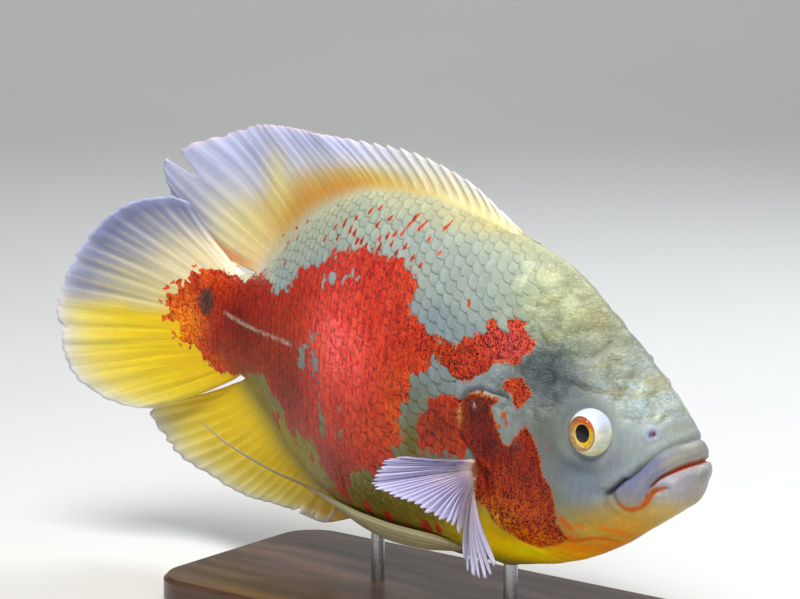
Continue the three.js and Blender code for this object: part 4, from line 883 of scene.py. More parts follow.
tree = KDTree(len(SRC_V))
for i, c in enumerate(SRC_V.tolist()):
    tree.insert(c, i)
tree.balance()
idx = np.zeros(len(rest), int)
gapd = np.zeros(len(rest))
for i, c in enumerate(rest.tolist()):
    _, j, dd = tree.find(c)
    idx[i], gapd[i] = j, dd
kinds, uvo = SRC_K[idx], SRC_U[idx]
# soften the seams where the fins join the body
ev = np.zeros(len(me.edges) * 2, np.int32)
me.edges.foreach_get("vertices", ev)
ev = ev.reshape(-1, 2)
ring = np.where(gapd > .002, 0, 99)
for _ in range(4):
    m = np.minimum(ring[ev[:, 0]], ring[ev[:, 1]]) + 1
    np.minimum.at(ring, ev[:, 0], m)
    np.minimum.at(ring, ev[:, 1], m)
wgt = np.interp(ring, [0, 1, 2, 3, 4], [.8, .65, .45, .2, 0])
sm = rest.copy()
for _ in range(6):
    acc, cnt = np.zeros_like(sm), np.zeros(len(sm))
    np.add.at(acc, ev[:, 0], sm[ev[:, 1]])
    np.add.at(acc, ev[:, 1], sm[ev[:, 0]])
    np.add.at(cnt, ev[:, 0], 1)
    np.add.at(cnt, ev[:, 1], 1)
    sm += (acc / np.maximum(cnt, 1)[:, None] - sm) * wgt[:, None]
rest = sm

f = flesh_paint(rest)
red, redcol, dots, base = f["red"], f["redcol"], f["dots"], f["base"]
blue = noise(rest / 9, 31)
base = base * (1 + .07 * blue[:, None] * np.array([-.6, .1, 1]))
# painted light and shade of the forehead's folds: the base colour is lighter on each fold and darker and warmer in the
# creases between them
fold_shading = folds(*rest.T) * brow_weight(rest[:, 0], rest[:, 2])
base = base * np.clip(1.03 + .62 * fold_shading, .66, 1.4)[:, None]
base = base * (1 - smooth(.0, -.35, fold_shading)[:, None] * np.array([-.02, .03, .2]))
extra = np.stack([f["mark"], f["rag"], np.where(kinds == 0, brow_weight(rest[:, 0], rest[:, 2]), 0)], 1)
finr = np.zeros((len(rest), 3))
for k, (kind, *_r) in enumerate(fins):
    at = kinds == k + 1
    if not at.any():
        continue
    p, (u, v, off, ray) = rest[at], uvo[at].T
    c = fin_paint(kind, p, u, v, off)
    if kind in ("dorsal", "anal", "caudal"):
        join = {"dorsal": smooth(.0, .22, v), "anal": smooth(0, .3, v), "caudal": smooth(.03, .16, v)}[kind]
        c = mix(base[at], c, join)
        if kind != "caudal":
            red[at] = red[at] - 10 * smooth(.3, .5, v)
            extra[at, 0] = np.where(v > .12, -9, extra[at, 0])
    elif kind.startswith("pectoral"):
        c = mix(np.tile(linear("#cf7040"), (len(c), 1)), c, smooth(0, .07, v))
        red[at], extra[at, 0] = -12, -9
    else:
        red[at], extra[at, 0] = -12, -9
    dots[at] *= 0
    base[at] = c
    finr[at] = np.stack([ray, v, smooth(.06, .25, v)], 1)
me.vertices.foreach_set("co", posed(rest).astype(np.float32).ravel())
paint_mesh(me, rest, base, red, redcol, dots, np.zeros(len(rest)), extra, finr)
shade_smooth(me)
SKIN_TRIS = sum(len(p.vertices) - 2 for p in me.polygons)
print("skin triangles", SKIN_TRIS)
# the tail's base, kept aside to lay its small scales on
polys = [tuple(q.vertices) for q in me.polygons]
near = [q for q in polys if 226 < rest[q[0], 0] < 268 and abs(rest[q[0], 2]) < 45]
TAIL_SKIN = BVHTree.FromPolygons([tuple(c) for c in rest.tolist()], near)
SKIN_BASE = base


# ------------------------------------------------------------------ scales
def girth_tables():
    ss = np.arange(50, 262, 2.0)
    ph = np.linspace(0, np.pi, 241)
    table, total = [], []
    for s in ss:
        p = body_point(np.full_like(ph, min(s, 246)), ph)
        L = np.concatenate([[0], np.cumsum(np.linalg.norm(np.diff(p, axis=0), axis=1))])
        table.append(np.interp(np.linspace(0, 1, 161), L / L[-1], ph))
        total.append(L[-1])
    return ss, np.array(table), np.array(total)


_ss, _table, _total = girth_tables()


def phi_at(s, t):
    x = np.clip((s - _ss[0]) / 2, 0, len(_ss) - 1.001)
    y = np.clip(t * 160, 0, 159.999)
    i, j = x.astype(int), y.astype(int)
    fx, fy = x - i, y - j
    T = _table
    return T[i, j] * (1 - fx) * (1 - fy) + T[i + 1, j] * fx * (1 - fy) + T[i, j + 1] * (1 - fx) * fy + T[i + 1, j + 1] * fx * fy


ROW_BANDS = [(0, 31), (176, 26), (196, 18), (212, 13)]


def pitch(s):
    return np.interp(s, [60, 80, 150, 190, 215, 243], [3.8, 4.1, 4.0, 3.5, 2.8, 2.5])


cols = [60.0]
while cols[-1] < 230:
    cols.append(cols[-1] + float(pitch(cols[-1])))
cols = np.array(cols)


def scale_roots(side, rng):
    out = []
    for i, s in enumerate(cols):
        rows = [n for a, n in ROW_BANDS if s >= a][-1]
        for j in range(rows + 1):
            t = (j + (.5 if i % 2 else 0)) / rows
            if not .008 < t < .992:
                continue
            out.append((s + rng.uniform(-.3, .3), t + rng.uniform(-.12, .12) / rows, rows))
    a = np.array(out)
    p = body_point(a[:, 0], phi_at(a[:, 0], a[:, 1]) * side)
    h = p[:, 2]
    ok = (a[:, 0] > np.interp(h, *SCALE_START)) & (area_dist(np.stack([a[:, 0], h], 1), PLATE) < -2.6)
    ok &= np.hypot(a[:, 0] - 79, (h + 16.5) * .8) > 7
    return a[ok], p[ok]


def scale_net(n, na, nb, rng):
    """Outline, lift and faces shared by every scale: rooted in front, a broad flat curve behind."""
    A, B = np.linspace(0, 1, na + 1), np.linspace(-1, 1, nb + 1)
    AA, BB = np.meshgrid(A, B, indexing="ij")
    wide = np.interp(A, [0, .15, .4, .75, 1], [.5, .8, .98, 1.0, .93])[:, None] * BB
    along = AA * (1 - (.17 * BB ** 2 + .06 * BB ** 4) * AA) - .62
    skew = rng.uniform(-.09, .09, n)[:, None, None]
    along = along[None] + skew * BB[None] * AA[None]
    lift = (-.17 + .19 * AA ** .8 - .05 * np.abs(BB) ** 3 * AA)[None] + rng.uniform(-.02, .02, n)[:, None, None]
    lift = lift + rng.uniform(-.05, .05, n)[:, None, None] * BB[None] * AA[None] + .03 * BB[None]
    thick = (.025 + .05 * (1 - AA ** 3))[None] + 0 * lift
    m = (na + 1) * (nb + 1)
    ii, jj = [x.ravel() for x in np.meshgrid(np.arange(na), np.arange(nb), indexing="ij")]
    q = ii * (nb + 1) + jj
    ft = np.stack([q, q + nb + 1, q + nb + 2, q + 1], 1)
    fb = np.stack([q + m, q + 1 + m, q + nb + 2 + m, q + nb + 1 + m], 1)
    rim = ([(k, 0) for k in range(na)] + [(na, k) for k in range(nb)] + [(k, nb) for k in range(na, 0, -1)] + [(0, k) for k in range(nb, 0, -1)])
    r = np.array([x * (nb + 1) + y for x, y in rim])
    r2 = np.roll(r, -1)
    return AA, BB, wide[None] + 0 * lift, along, lift, thick, np.concatenate([ft, fb, np.stack([r, r + m, r2 + m, r2], 1)])


def scale_paint(side, rng, root, P1, P2, AA, BB, one, fade, uv_root, tail_base=None):
    """Colours of each scale: markings follow whole scales near the blotches' edges."""
    n, m = P1.shape[:2]
    if volume(np.concatenate([P1[0], P2[0]]), [one]) < 0:
        one = one[:, ::-1]
    rootp = np.repeat(root, m, 0)
    fr, fv = flesh_paint(rootp), flesh_paint(P1.reshape(-1, 3))
    vary = np.repeat(rng.uniform(-1.6, 1.6, n), m)
    core = np.tile((.8 - 1.3 * np.maximum(np.abs(BB) ** 2 * .9, smooth(.72, 1, AA))).ravel(), n)
    soft = smooth(6.0, 1.0, np.abs(fr["red"]))
    if tail_base is None:
        redm = fv["red"] * .45 + fr["red"] * .55 + (vary + core) * soft
        base = fv["base"]
    else:
        redm = np.where(rootp[:, 0] > 239, 2.2 + core, fr["red"] + vary + core)
        base = np.repeat(tail_base, m, 0)
    tone = np.repeat(1 + rng.uniform(-.07, .07, n), m)
    blue = noise(P1.reshape(-1, 3) / 9, 31)
    base = base * tone[:, None] * (1 + .07 * blue[:, None] * np.array([-.6, .1, 1]))
    # painted shade: each scale is darker at its front, where the scale before it lies over it, and lighter towards its
    # free edge
    overlap_shade = np.tile((.91 + .11 * smooth(.35, .95, AA)).ravel(), n)
    base = base * (1 + (overlap_shade - 1) * np.repeat(fade, m))[:, None]
    # the free rim of each scale: the material lightens it on pale skin as painted light and darkens it on the red as
    # painted shade
    edge = np.tile(smooth(.86, 1, np.maximum(AA, np.abs(BB) * smooth(.3, .6, AA))).ravel(), n) * np.repeat(fade, m)
    uv = np.stack([uv_root[:, :1] + (AA.ravel() - .5)[None] * .003, uv_root[:, 1:] + (BB.ravel() * .5)[None] * .003], -1)
    double = lambda x: np.concatenate([np.asarray(x).reshape(n, m, -1)] * 2, 1)
    # a dot or a dash keeps its own outline, whatever scale it lies on
    extra = np.stack([fv["mark"], fv["rag"] * (1 if tail_base is None else .4), 0 * vary], 1)
    return dict(v=np.concatenate([P1, P2], 1), rest=double(P1), one=one, uv=double(uv), base=double(base), red=double(redm), redcol=double(fv["redcol"] * (tone * (1 + 1.6 * (overlap_shade - .97)))[:, None]),
                dots=double(fv["dots"]), edge=double(edge), extra=double(extra), root=root[:, 0], rim=2 * (AA.shape[0] + AA.shape[1] - 2))


def build_scales(side, seed):
    rng = np.random.default_rng(seed)
    a, p0 = scale_roots(side, rng)
    n = len(a)
    AA, BB, wide, along, lift, thick, one = scale_net(n, *(((8, 6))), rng)
    girth = np.interp(a[:, 0], _ss, _total)
    size = 1 + rng.uniform(-.05, .05, n)
    tilt = rng.uniform(-.05, .05, n)[:, None, None]
    L, W = pitch(a[:, 0]) * 1.95 * size, girth / a[:, 2] * .64 * size
    da, db = along * L[:, None, None], wide * W[:, None, None]
    S = a[:, 0][:, None, None] + da - db * tilt
    T = np.clip(a[:, 1][:, None, None] + (db + da * tilt) / girth[:, None, None], .0005, .9995)
    ph = phi_at(S, T) * side
    P = body_point(S.ravel(), ph.ravel())
    N = body_normal(S.ravel(), ph.ravel())
    # low where the scaled skin runs into the bare skin of the head
    fade = smooth(-1, 16, a[:, 0] - np.interp(p0[:, 2], *SCALE_START)) * .7 + .3
    rise = (lift + .08) * (.4 + .6 * fade)[:, None, None] - .1 - .16 * (1 - fade)[:, None, None]
    rise = np.minimum(rise, .2)
    m = AA.size
    P1 = (P + N * rise.ravel()[:, None]).reshape(n, m, 3)
    P2 = (P + N * (rise - thick).ravel()[:, None]).reshape(n, m, 3)
    # places on an unwrap of the flank, a small patch for each scale
    uv_root = np.stack([.02 + .9 * (a[:, 0] - 50) / 200, (.02 if side > 0 else .52) + .46 * a[:, 1]], 1)
    root = np.stack([a[:, 0] + .15 * L, 0 * L + side * 10, p0[:, 2]], 1)
    return scale_paint(side, rng, root, P1, P2, AA, BB, one, fade, uv_root)


def tail_scales(side, seed):
    """Small scales over the fleshy base of the tail fin, laid on the skin itself."""
    rng = np.random.default_rng(seed)
    roots, normals, colours = [], [], []
    for i, s in enumerate(np.arange(231.5, 262, 2.1)):
        step = 2.7 - .03 * (s - 231)
        for j in range(-13, 14):
            h = 3.3 + (j + (.5 if i % 2 else 0)) * step + rng.uniform(-.3, .3)
            ss = s + rng.uniform(-.4, .4) - .012 * (h - 3) ** 2
            edge = 1 - abs(h - 3.0) / np.interp(ss, [228, 236, 262], [17, 18.5, 27])
            near_red = field("red", np.array([ss]), np.array([h]))[0]
            if edge < .06 or (s > 239 and near_red + rng.uniform(-1.7, 1.7) < .5):
                continue
            hit, nor, k, _ = TAIL_SKIN.ray_cast(Vector((ss, side * 30, h)), Vector((0, -side, 0)), 30)
            if hit is None or nor.y * side < .35:
                continue
            roots.append(tuple(hit))
            normals.append(tuple(nor))
            colours.append(SKIN_BASE[near[k][0]])
    r, N = np.array(roots), np.array(normals)
    n = len(r)
    AA, BB, wide, along, lift, thick, one = scale_net(n, 6, 4, rng)
    T = np.array([1.0, 0, 0]) - N * N[:, :1]
    fan_out = (r[:, 2] - 3.3) / np.maximum(r[:, 0] - 205, 1)
    T = T + np.array([0, 0, 1.0]) * fan_out[:, None]
    T -= N * (T * N).sum(1, keepdims=True)
    T /= np.linalg.norm(T, axis=1, keepdims=True)
    U = np.cross(N, T)
    U *= np.where(U[:, 2] < 0, -1, 1)[:, None]
    size = np.interp(r[:, 0], [231, 240, 262], [1, .9, .6])[:, None, None] * rng.uniform(.92, 1.08, n)[:, None, None]
    da, db = along * 4.1 * size, wide * 1.7 * size
    fade = np.interp(r[:, 0], [236, 258], [.8, .3])
    rise = (lift + .16) * (.3 + .5 * fade)[:, None, None]
    flatP = r[:, None, None] + T[:, None, None] * da[..., None] + U[:, None, None] * db[..., None]
    m = AA.size
    P1 = (flatP + N[:, None, None] * rise[..., None]).reshape(n, m, 3)
    P2 = (flatP + N[:, None, None] * (rise - thick)[..., None]).reshape(n, m, 3)
    uv_root = np.stack([.02 + .9 * (r[:, 0] - 50) / 200, (.25 if side > 0 else .75) + .004 * (r[:, 2] - 3)], 1)
    root = r + np.array([.8, 0, 0])
    root[:, 1] = side * 10
    return scale_paint(side, rng, root, P1, P2, AA, BB, one, fade, uv_root, np.array(colours))


def scale_pieces(data, prefix, most):
    """Joined meshes of whole scales, each under the triangle limit."""
    n, m2 = data["v"].shape[:2]
    per = len(data["one"]) * 2
    order = np.argsort(data["root"], kind="stable")
    parts = max(1, math.ceil(n * per / most))
    out = []
    for k, chunk in enumerate(np.array_split(order, parts)):
        c = len(chunk)
        faces = (data["one"][None] + (np.arange(c) * m2)[:, None, None]).reshape(-1, 4)
        v = data["v"][chunk].reshape(-1, 3)
        me = raw_mesh(f"{prefix}_{k + 1}", posed(v), [faces])
        get = lambda key: data[key][chunk].reshape(c * m2, -1)
        paint_mesh(me, get("rest"), get("base"), get("red")[:, 0], get("redcol"), get("dots")[:, 0], get("edge")[:, 0], get("extra"), get("rest") * 0)
        layer = me.uv_layers.new(name="OFBake")
        lv = np.zeros(len(me.loops), np.int32)
        me.loops.foreach_get("vertex_index", lv)
        layer.data.foreach_set("uv", get("uv")[lv].astype(np.float32).ravel())
        soft = np.ones((c, len(data["one"])), bool)
        soft[:, -data["rim"]:] = False
        me.polygons.foreach_set("use_smooth", soft.ravel())
        me.update()
        out.append(put(f"{prefix}_{k + 1}", me))
    print(prefix, n, "scales,", n * per, "triangles in", parts)
    return out


coat = []
for side, label, seed in ((1, "scales_right", 41), (-1, "scales_left", 42)):
    coat += scale_pieces(build_scales(side, seed), label, 185000)
    coat += scale_pieces(tail_scales(side, seed + 10), label.replace("scales", "tail_scales"), 185000)


# ------------------------------------------------------------------ materials
def nodes_of(name):
    m = bpy.data.materials.new(name)
    m.use_nodes = True
    nt = m.node_tree
    nt.nodes.clear()
    out = nt.nodes.new("ShaderNodeOutputMaterial")
    return m, nt, out


class Net:
    """Small helper to wire nodes."""
    def __init__(self, nt):
        self.nt = nt

    def node(self, kind, ins=None, **props):
        n = self.nt.nodes.new(kind)
        for k, v in props.items():
            setattr(n, k, v)
        for k, v in (ins or {}).items():
            sock = n.inputs[k]
            if isinstance(v, bpy.types.NodeSocket):
                self.nt.links.new(v, sock)
            else:
                sock.default_value = v
        return n

    def math(self, op, a, b=0.0, c=0.0, clamp=False):
        n = self.node("ShaderNodeMath", {0: a, 1: b, 2: c}, operation=op)
        n.use_clamp = clamp
        return n.outputs[0]

    def attr(self, name, out="Fac"):
        return self.node("ShaderNodeAttribute", attribute_name=name).outputs[out]

    def step(self, x, lo, hi, a=0.0, b=1.0):
        n = self.node("ShaderNodeMapRange", {"Value": x, "From Min": lo, "From Max": hi, "To Min": a, "To Max": b}, interpolation_type="SMOOTHSTEP")
        return n.outputs[0]

    def mix(self, fac, a, b, mode="MIX"):
        n = self.node("ShaderNodeMix", data_type="RGBA", blend_type=mode)
        for i, v in ((0, fac), (6, a), (7, b)):
            if isinstance(v, bpy.types.NodeSocket):
                self.nt.links.new(v, n.inputs[i])
            else:
                n.inputs[i].default_value = v
        return n.outputs[2]

    def vec(self, v, scale, shift=(0, 0, 0)):
        return self.node("ShaderNodeMapping", {"Vector": v, "Scale": scale, "Location": shift}).outputs[0]

    def noise(self, v, scale=1.0, detail=2.0, rough=.5, out="Fac"):
        return self.node("ShaderNodeTexNoise", {"Vector": v, "Scale": scale, "Detail": detail, "Roughness": rough}).outputs[out]

    def cells(self, v, scale=1.0, feature="F1", out="Distance", rand=1.0):
        return self.node("ShaderNodeTexVoronoi", {"Vector": v, "Scale": scale, "Randomness": rand}, feature=feature).outputs[out]


def rgba(hexa):
    return (*[float(x) for x in linear(hexa)], 1.0)


def skin_material():
    m, nt, out = nodes_of("oscar_skin")
    N = Net(nt)
    rest = N.attr("rest", "Vector")
    base, redcol = N.attr("base", "Color"), N.attr("redcol", "Color")
    red, dots, edge = N.attr("red"), N.attr("dots"), N.attr("edge")
    ex = N.node("ShaderNodeSeparateXYZ", {0: N.attr("extra", "Vector")}).outputs
    finr = N.attr("finr", "Vector")
    finw = N.node("ShaderNodeSeparateXYZ", {0: finr}).outputs[2]
    shade = lambda c, k: N.mix(1.0, c, (*k, 1), "MULTIPLY")
    # ragged edge of the red: broad wander, upright nibbles, and whole flecks at the tail's base
    n1 = N.noise(N.vec(rest, (.30, .30, .22)), 1, 2, .6)
    n2 = N.noise(N.vec(rest, (1.2, 1.2, .6)), 1, 2, .6)
    wob = N.math("ADD", N.math("MULTIPLY", N.math("SUBTRACT", n1, .5), 4.2), N.math("MULTIPLY", N.math("SUBTRACT", n2, .5), 3.6))
    cellv = N.node("ShaderNodeSeparateXYZ", {0: N.cells(N.vec(rest, (.34, .34, .5)), 1, "F1", "Color", .9)}).outputs[0]
    fleck = N.math("MULTIPLY", N.math("SUBTRACT", cellv, .5), N.math("MULTIPLY", N.step(ex[1], 1.0, 1.9), 9))
    sharp = N.math("ADD", N.math("ADD", red, N.math("MULTIPLY", wob, N.math("MINIMUM", ex[1], 1.0))), fleck)
    mask = N.step(sharp, -.3, .4)
    dash = N.step(N.math("ADD", ex[0], N.math("MULTIPLY", N.math("SUBTRACT", n2, .5), .5)), -.14, .2)
    mask = N.math("MAXIMUM", mask, dash)
    # upright streaks and grains inside the red
    st = N.noise(N.vec(rest, (.62, .62, .15)), 1, 3, .62)
    gr = N.noise(N.vec(rest, (1.5, 1.5, .7), (3, 7, 1)), 1, 2, .6)
    cl0 = N.noise(N.vec(rest, (.1, .1, .1), (5, 2, 8)), 1, 2, .5)
    col = N.mix(N.step(st, .5, .4, 0, .85), redcol, shade(redcol, (.58, .26, .3)))
    col = N.mix(N.step(st, .52, .62, 0, .75), col, shade(redcol, (1.25, 2.4, 1.0)))
    col = N.mix(N.step(gr, .53, .62, 0, .6), col, shade(redcol, (1.2, 2.2, 1.9)))
    col = N.mix(N.step(gr, .47, .38, 0, .6), col, shade(redcol, (.56, .3, .32)))
    col = N.mix(N.step(cl0, .5, .6, 0, .42), col, shade(col, (.8, .5, .56)))
    # thin paler net, drawn out upright
    bent = N.node("ShaderNodeVectorMath", {0: N.vec(rest, (.68, .68, .3)), 1: N.node("ShaderNodeVectorMath", {0: N.noise(N.vec(rest, (.5, .5, .5)), 1, 1, .5, "Color"), "Scale": .8}, operation="SCALE").outputs[0]}, operation="ADD").outputs[0]
    net = N.math("MULTIPLY", N.step(N.cells(bent, 1, "DISTANCE_TO_EDGE", "Distance", 1.0), .12, .02), N.step(cl0, .42, .58, .15, 1.0))
    col = N.mix(N.math("MULTIPLY", net, .65), col, shade(redcol, (1.35, 2.9, 3.2)))
    rim = N.math("MULTIPLY", N.step(sharp, 1.2, .2), .28)
    col = N.mix(rim, col, N.mix(N.step(dots, .3, .7), shade(col, (.85, .75, .6)), rgba("#cc7030")))
    # black dots
    warp = N.node("ShaderNodeVectorMath", {0: rest, 1: N.node("ShaderNodeVectorMath", {0: N.noise(N.vec(rest, (.7, .7, .7)), 1, 1, .5, "Color"), "Scale": .9}, operation="SCALE").outputs[0]}, operation="ADD").outputs[0]
    cell = N.cells(warp, 1.0, "F1", "Distance", .7)
    dsize = N.math("MULTIPLY", N.noise(N.vec(rest, (.22, .22, .22), (9, 2, 4)), 1, 1), .34)
    dot = N.math("MULTIPLY", N.step(N.math("SUBTRACT", cell, dsize), .25, .1), dots, clamp=True)
    halo = N.math("MULTIPLY", N.step(cell, .25, .6), dots, clamp=True)
    col = N.mix(N.math("MULTIPLY", halo, .4), col, shade(col, (1.5, 2.1, 1.2)))
    dot = N.math("MULTIPLY", dot, N.step(sharp, -.2, .5))
    # pale skin: clouding, mottling and thin scale edges, the edges lightened as painted light
    cl = N.noise(N.vec(rest, (.16, .16, .22)), 1, 3, .6)
    mo = N.noise(N.vec(rest, (.45, .45, .45), (1, 5, 2)), 1, 3, .6)
    fine = N.noise(N.vec(rest, (1.5, 1.5, 2.2)), 1, 3, .6)
    b = N.mix(N.step(cl, .35, .7, 0, .35), base, shade(base, (.84, .91, 1.0)))
    b = N.mix(N.step(mo, .5, .7, 0, .3), b, shade(b, (.96, .93, 1.12)))
    b = N.mix(N.step(mo, .48, .3, 0, .3), b, shade(b, (1.02, 1.06, .88)))
    b = N.mix(N.step(fine, .52, .7, 0, .35), b, shade(b, (1.12, 1.12, 1.08)))
    b = N.mix(N.step(fine, .45, .3, 0, .3), b, shade(b, (.86, .86, .84)))
    body = N.math("SUBTRACT", 1.0, finw)
    b = N.mix(N.math("MULTIPLY", body, N.step(st, .51, .62, 0, .4)), b, shade(b, (1.2, 1.2, 1.16)))
    b = N.mix(N.math("MULTIPLY", body, N.step(st, .49, .4, 0, .3)), b, shade(b, (.86, .88, .88)))
    # painted light along the free rims of the pale scales
    b = N.mix(N.math("MULTIPLY", edge, .3), b, shade(b, (1.04, 1.06, 1.06)))
    # painted shade in the creases between the folds of the forehead, olive and grey, and a painted highlight on the
    # tops of the folds
    fo = N.noise(N.vec(rest, (.36, .36, .6), (4, 1, 7)), 1, 3, .62)
    crease = N.math("MULTIPLY", ex[2], N.step(N.math("ABSOLUTE", N.math("SUBTRACT", fo, .5)), .07, .0))
    b = N.mix(N.math("MULTIPLY", crease, .6), b, shade(b, (.66, .68, .58)))
    b = N.mix(N.math("MULTIPLY", ex[2], N.step(fo, .54, .66, 0, .5)), b, shade(b, (1.3, 1.3, 1.16)))
    # fins: fine rays
    f1 = N.noise(N.vec(finr, (2.1, .9, 0)), 1, 2, .6)
    f2 = N.noise(N.vec(finr, (5.2, 1.4, 0), (0, 3, 0)), 1, 2, .6)
    b = N.mix(N.math("MULTIPLY", finw, N.step(f1, .5, .32, 0, .5)), b, shade(b, (.76, .76, .82)))
    b = N.mix(N.math("MULTIPLY", finw, N.step(f2, .52, .7, 0, .5)), b, shade(b, (1.16, 1.15, 1.12)))
    b = N.mix(N.math("MULTIPLY", finw, N.step(f2, .46, .3, 0, .4)), b, shade(b, (.84, .83, .86)))
    # painted shade along the free rims of the red scales
    col = N.mix(N.math("MULTIPLY", edge, .25), col, shade(col, (.8, .6, .6)))
    c = N.mix(mask, b, col)
    c = N.mix(N.math("MULTIPLY", dot, .86), c, rgba("#2e0a06"))
    # relief
    pore = N.noise(N.vec(rest, (2.6, 2.6, 2.6)), 1, 3, .6)
    mid = N.noise(N.vec(rest, (.8, .8, 1.1)), 1, 2, .5)
    height = N.math("ADD", N.math("MULTIPLY", pore, .10), N.math("MULTIPLY", mid, .22))
    height = N.math("ADD", height, N.math("MULTIPLY", dot, -.06))
    height = N.math("ADD", height, N.math("MULTIPLY", N.math("MULTIPLY", st, mask), .5))
    height = N.math("ADD", height, N.math("MULTIPLY", N.math("MULTIPLY", N.math("ABSOLUTE", N.math("SUBTRACT", fo, .5)), ex[2]), 3.0))
    height = N.math("ADD", height, N.math("MULTIPLY", N.math("MULTIPLY", N.math("ADD", f1, f2), finw), .2))
    bump = N.node("ShaderNodeBump", {"Height": height, "Strength": .6, "Distance": .0007})
    rough = N.step(N.noise(N.vec(rest, (.5, .5, .5)), 1, 2), .3, .7, .36, .52)
    bs = N.node("ShaderNodeBsdfPrincipled", {"Base Color": c, "Roughness": rough, "Normal": bump.outputs[0]})
    bs.inputs["Coat Weight"].default_value = .1
    bs.inputs["Coat Roughness"].default_value = .14
    bs.inputs["Specular IOR Level"].default_value = .16
    bs.inputs["Subsurface Weight"].default_value = .1
    bs.inputs["Subsurface Radius"].default_value = (1.0, .35, .2)
    bs.inputs["Subsurface Scale"].default_value = .0012
    nt.links.new(bs.outputs[0], out.inputs[0])
    return m


SKIN = skin_material()
for o in [skin] + coat:
    o.data.materials.clear()
    o.data.materials.append(SKIN)
    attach(o, "root")
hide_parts("head", "upper_lip", "lower_jaw", "gill_cover_right", "gill_cover_left", "trunk", "tail", "dorsal_fin", "anal_fin",
            "caudal_fin", "pectoral_fin_right", "pectoral_fin_left", "pelvic_fin_right", "pelvic_fin_left")


# ------------------------------------------------------------------ eyes
def lathe(profile, n):
    """Closed solid of revolution about +x from (x, r) pairs that start and end on the axis."""
    ang = np.linspace(0, 2 * np.pi, n, endpoint=False)
    inner = profile[1:-1]
    v = [[profile[0][0], 0, 0], [profile[-1][0], 0, 0]]
    for x, r in inner:
        v += [[x, r * math.cos(a), r * math.sin(a)] for a in ang]
    v = np.array(v)
    k = len(inner)
    quads, tris = [], []
    for i in range(k - 1):
        a = 2 + i * n + np.arange(n)
        b = 2 + i * n + (np.arange(n) + 1) % n
        quads.append(np.stack([a, b, b + n, a + n], 1))
    a = 2 + np.arange(n)
    tris.append(np.stack([np.zeros(n, int), np.roll(a, -1), a], 1))
    a = 2 + (k - 1) * n + np.arange(n)
    tris.append(np.stack([np.ones(n, int), a, np.roll(a, -1)], 1))
    faces = [np.concatenate(quads), np.concatenate(tris)]
    return v, face_out(v, faces)


IRIS_X, IRIS_R, PUPIL_R = 5.75, 5.75, 3.05


def eye_ball():
    R = EYE_R
    back = [(-R, 0)] + [(-R * math.cos(t), R * math.sin(t)) for t in np.linspace(.12, math.pi - math.asin(IRIS_R / R) - .02, 30)]
    rimx = math.sqrt(R * R - IRIS_R ** 2)
    prof = back + [(rimx, IRIS_R), (rimx - .1, IRIS_R - .16)]
    prof += [(np.interp(r, [PUPIL_R, 4.4, IRIS_R - .3], [IRIS_X, IRIS_X + .3, rimx - .16]), r) for r in np.linspace(IRIS_R - .3, PUPIL_R + .05, 10)]
    prof += [(IRIS_X - .12, PUPIL_R - .08)]
    prof += [(IRIS_X - .2 + .6 * math.sqrt(max(0, 1 - (r / PUPIL_R) ** 2)), r) for r in np.linspace(PUPIL_R - .25, .25, 8)]
    prof += [(IRIS_X + .42, 0)]
    return lathe(prof, 80)


def cornea_shell():
    R, r = EYE_R + .06, EYE_R - .2
    lim = math.asin((IRIS_R + .12) / R)
    outer = [(R * math.cos(t) + .25 * math.cos(t / lim * math.pi / 2), R * math.sin(t)) for t in np.linspace(0, lim, 16)]
    inner = [(r * math.cos(t) + .25 * math.cos(t / lim * math.pi / 2), r * math.sin(t)) for t in np.linspace(lim, 0, 16)]
    prof = [(outer[0][0], 0)] + outer[1:] + inner[:-1] + [(inner[-1][0], 0)]
    return lathe(prof, 64)


def eye_frame(side, local):
    """Local x is the eye's axis, pointing out and a little back and up."""
    ax = np.array([.12, side * 1.0, .03])
    ax /= np.linalg.norm(ax)
    up = np.array([0, 0, 1.0])
    y = np.cross(up, ax)
    y /= np.linalg.norm(y)
    z = np.cross(ax, y)
    c = np.array([EYE[0], side * EYE[1], EYE[2]])
    return c + local[:, :1] * ax + local[:, 1:2] * y + local[:, 2:3] * z


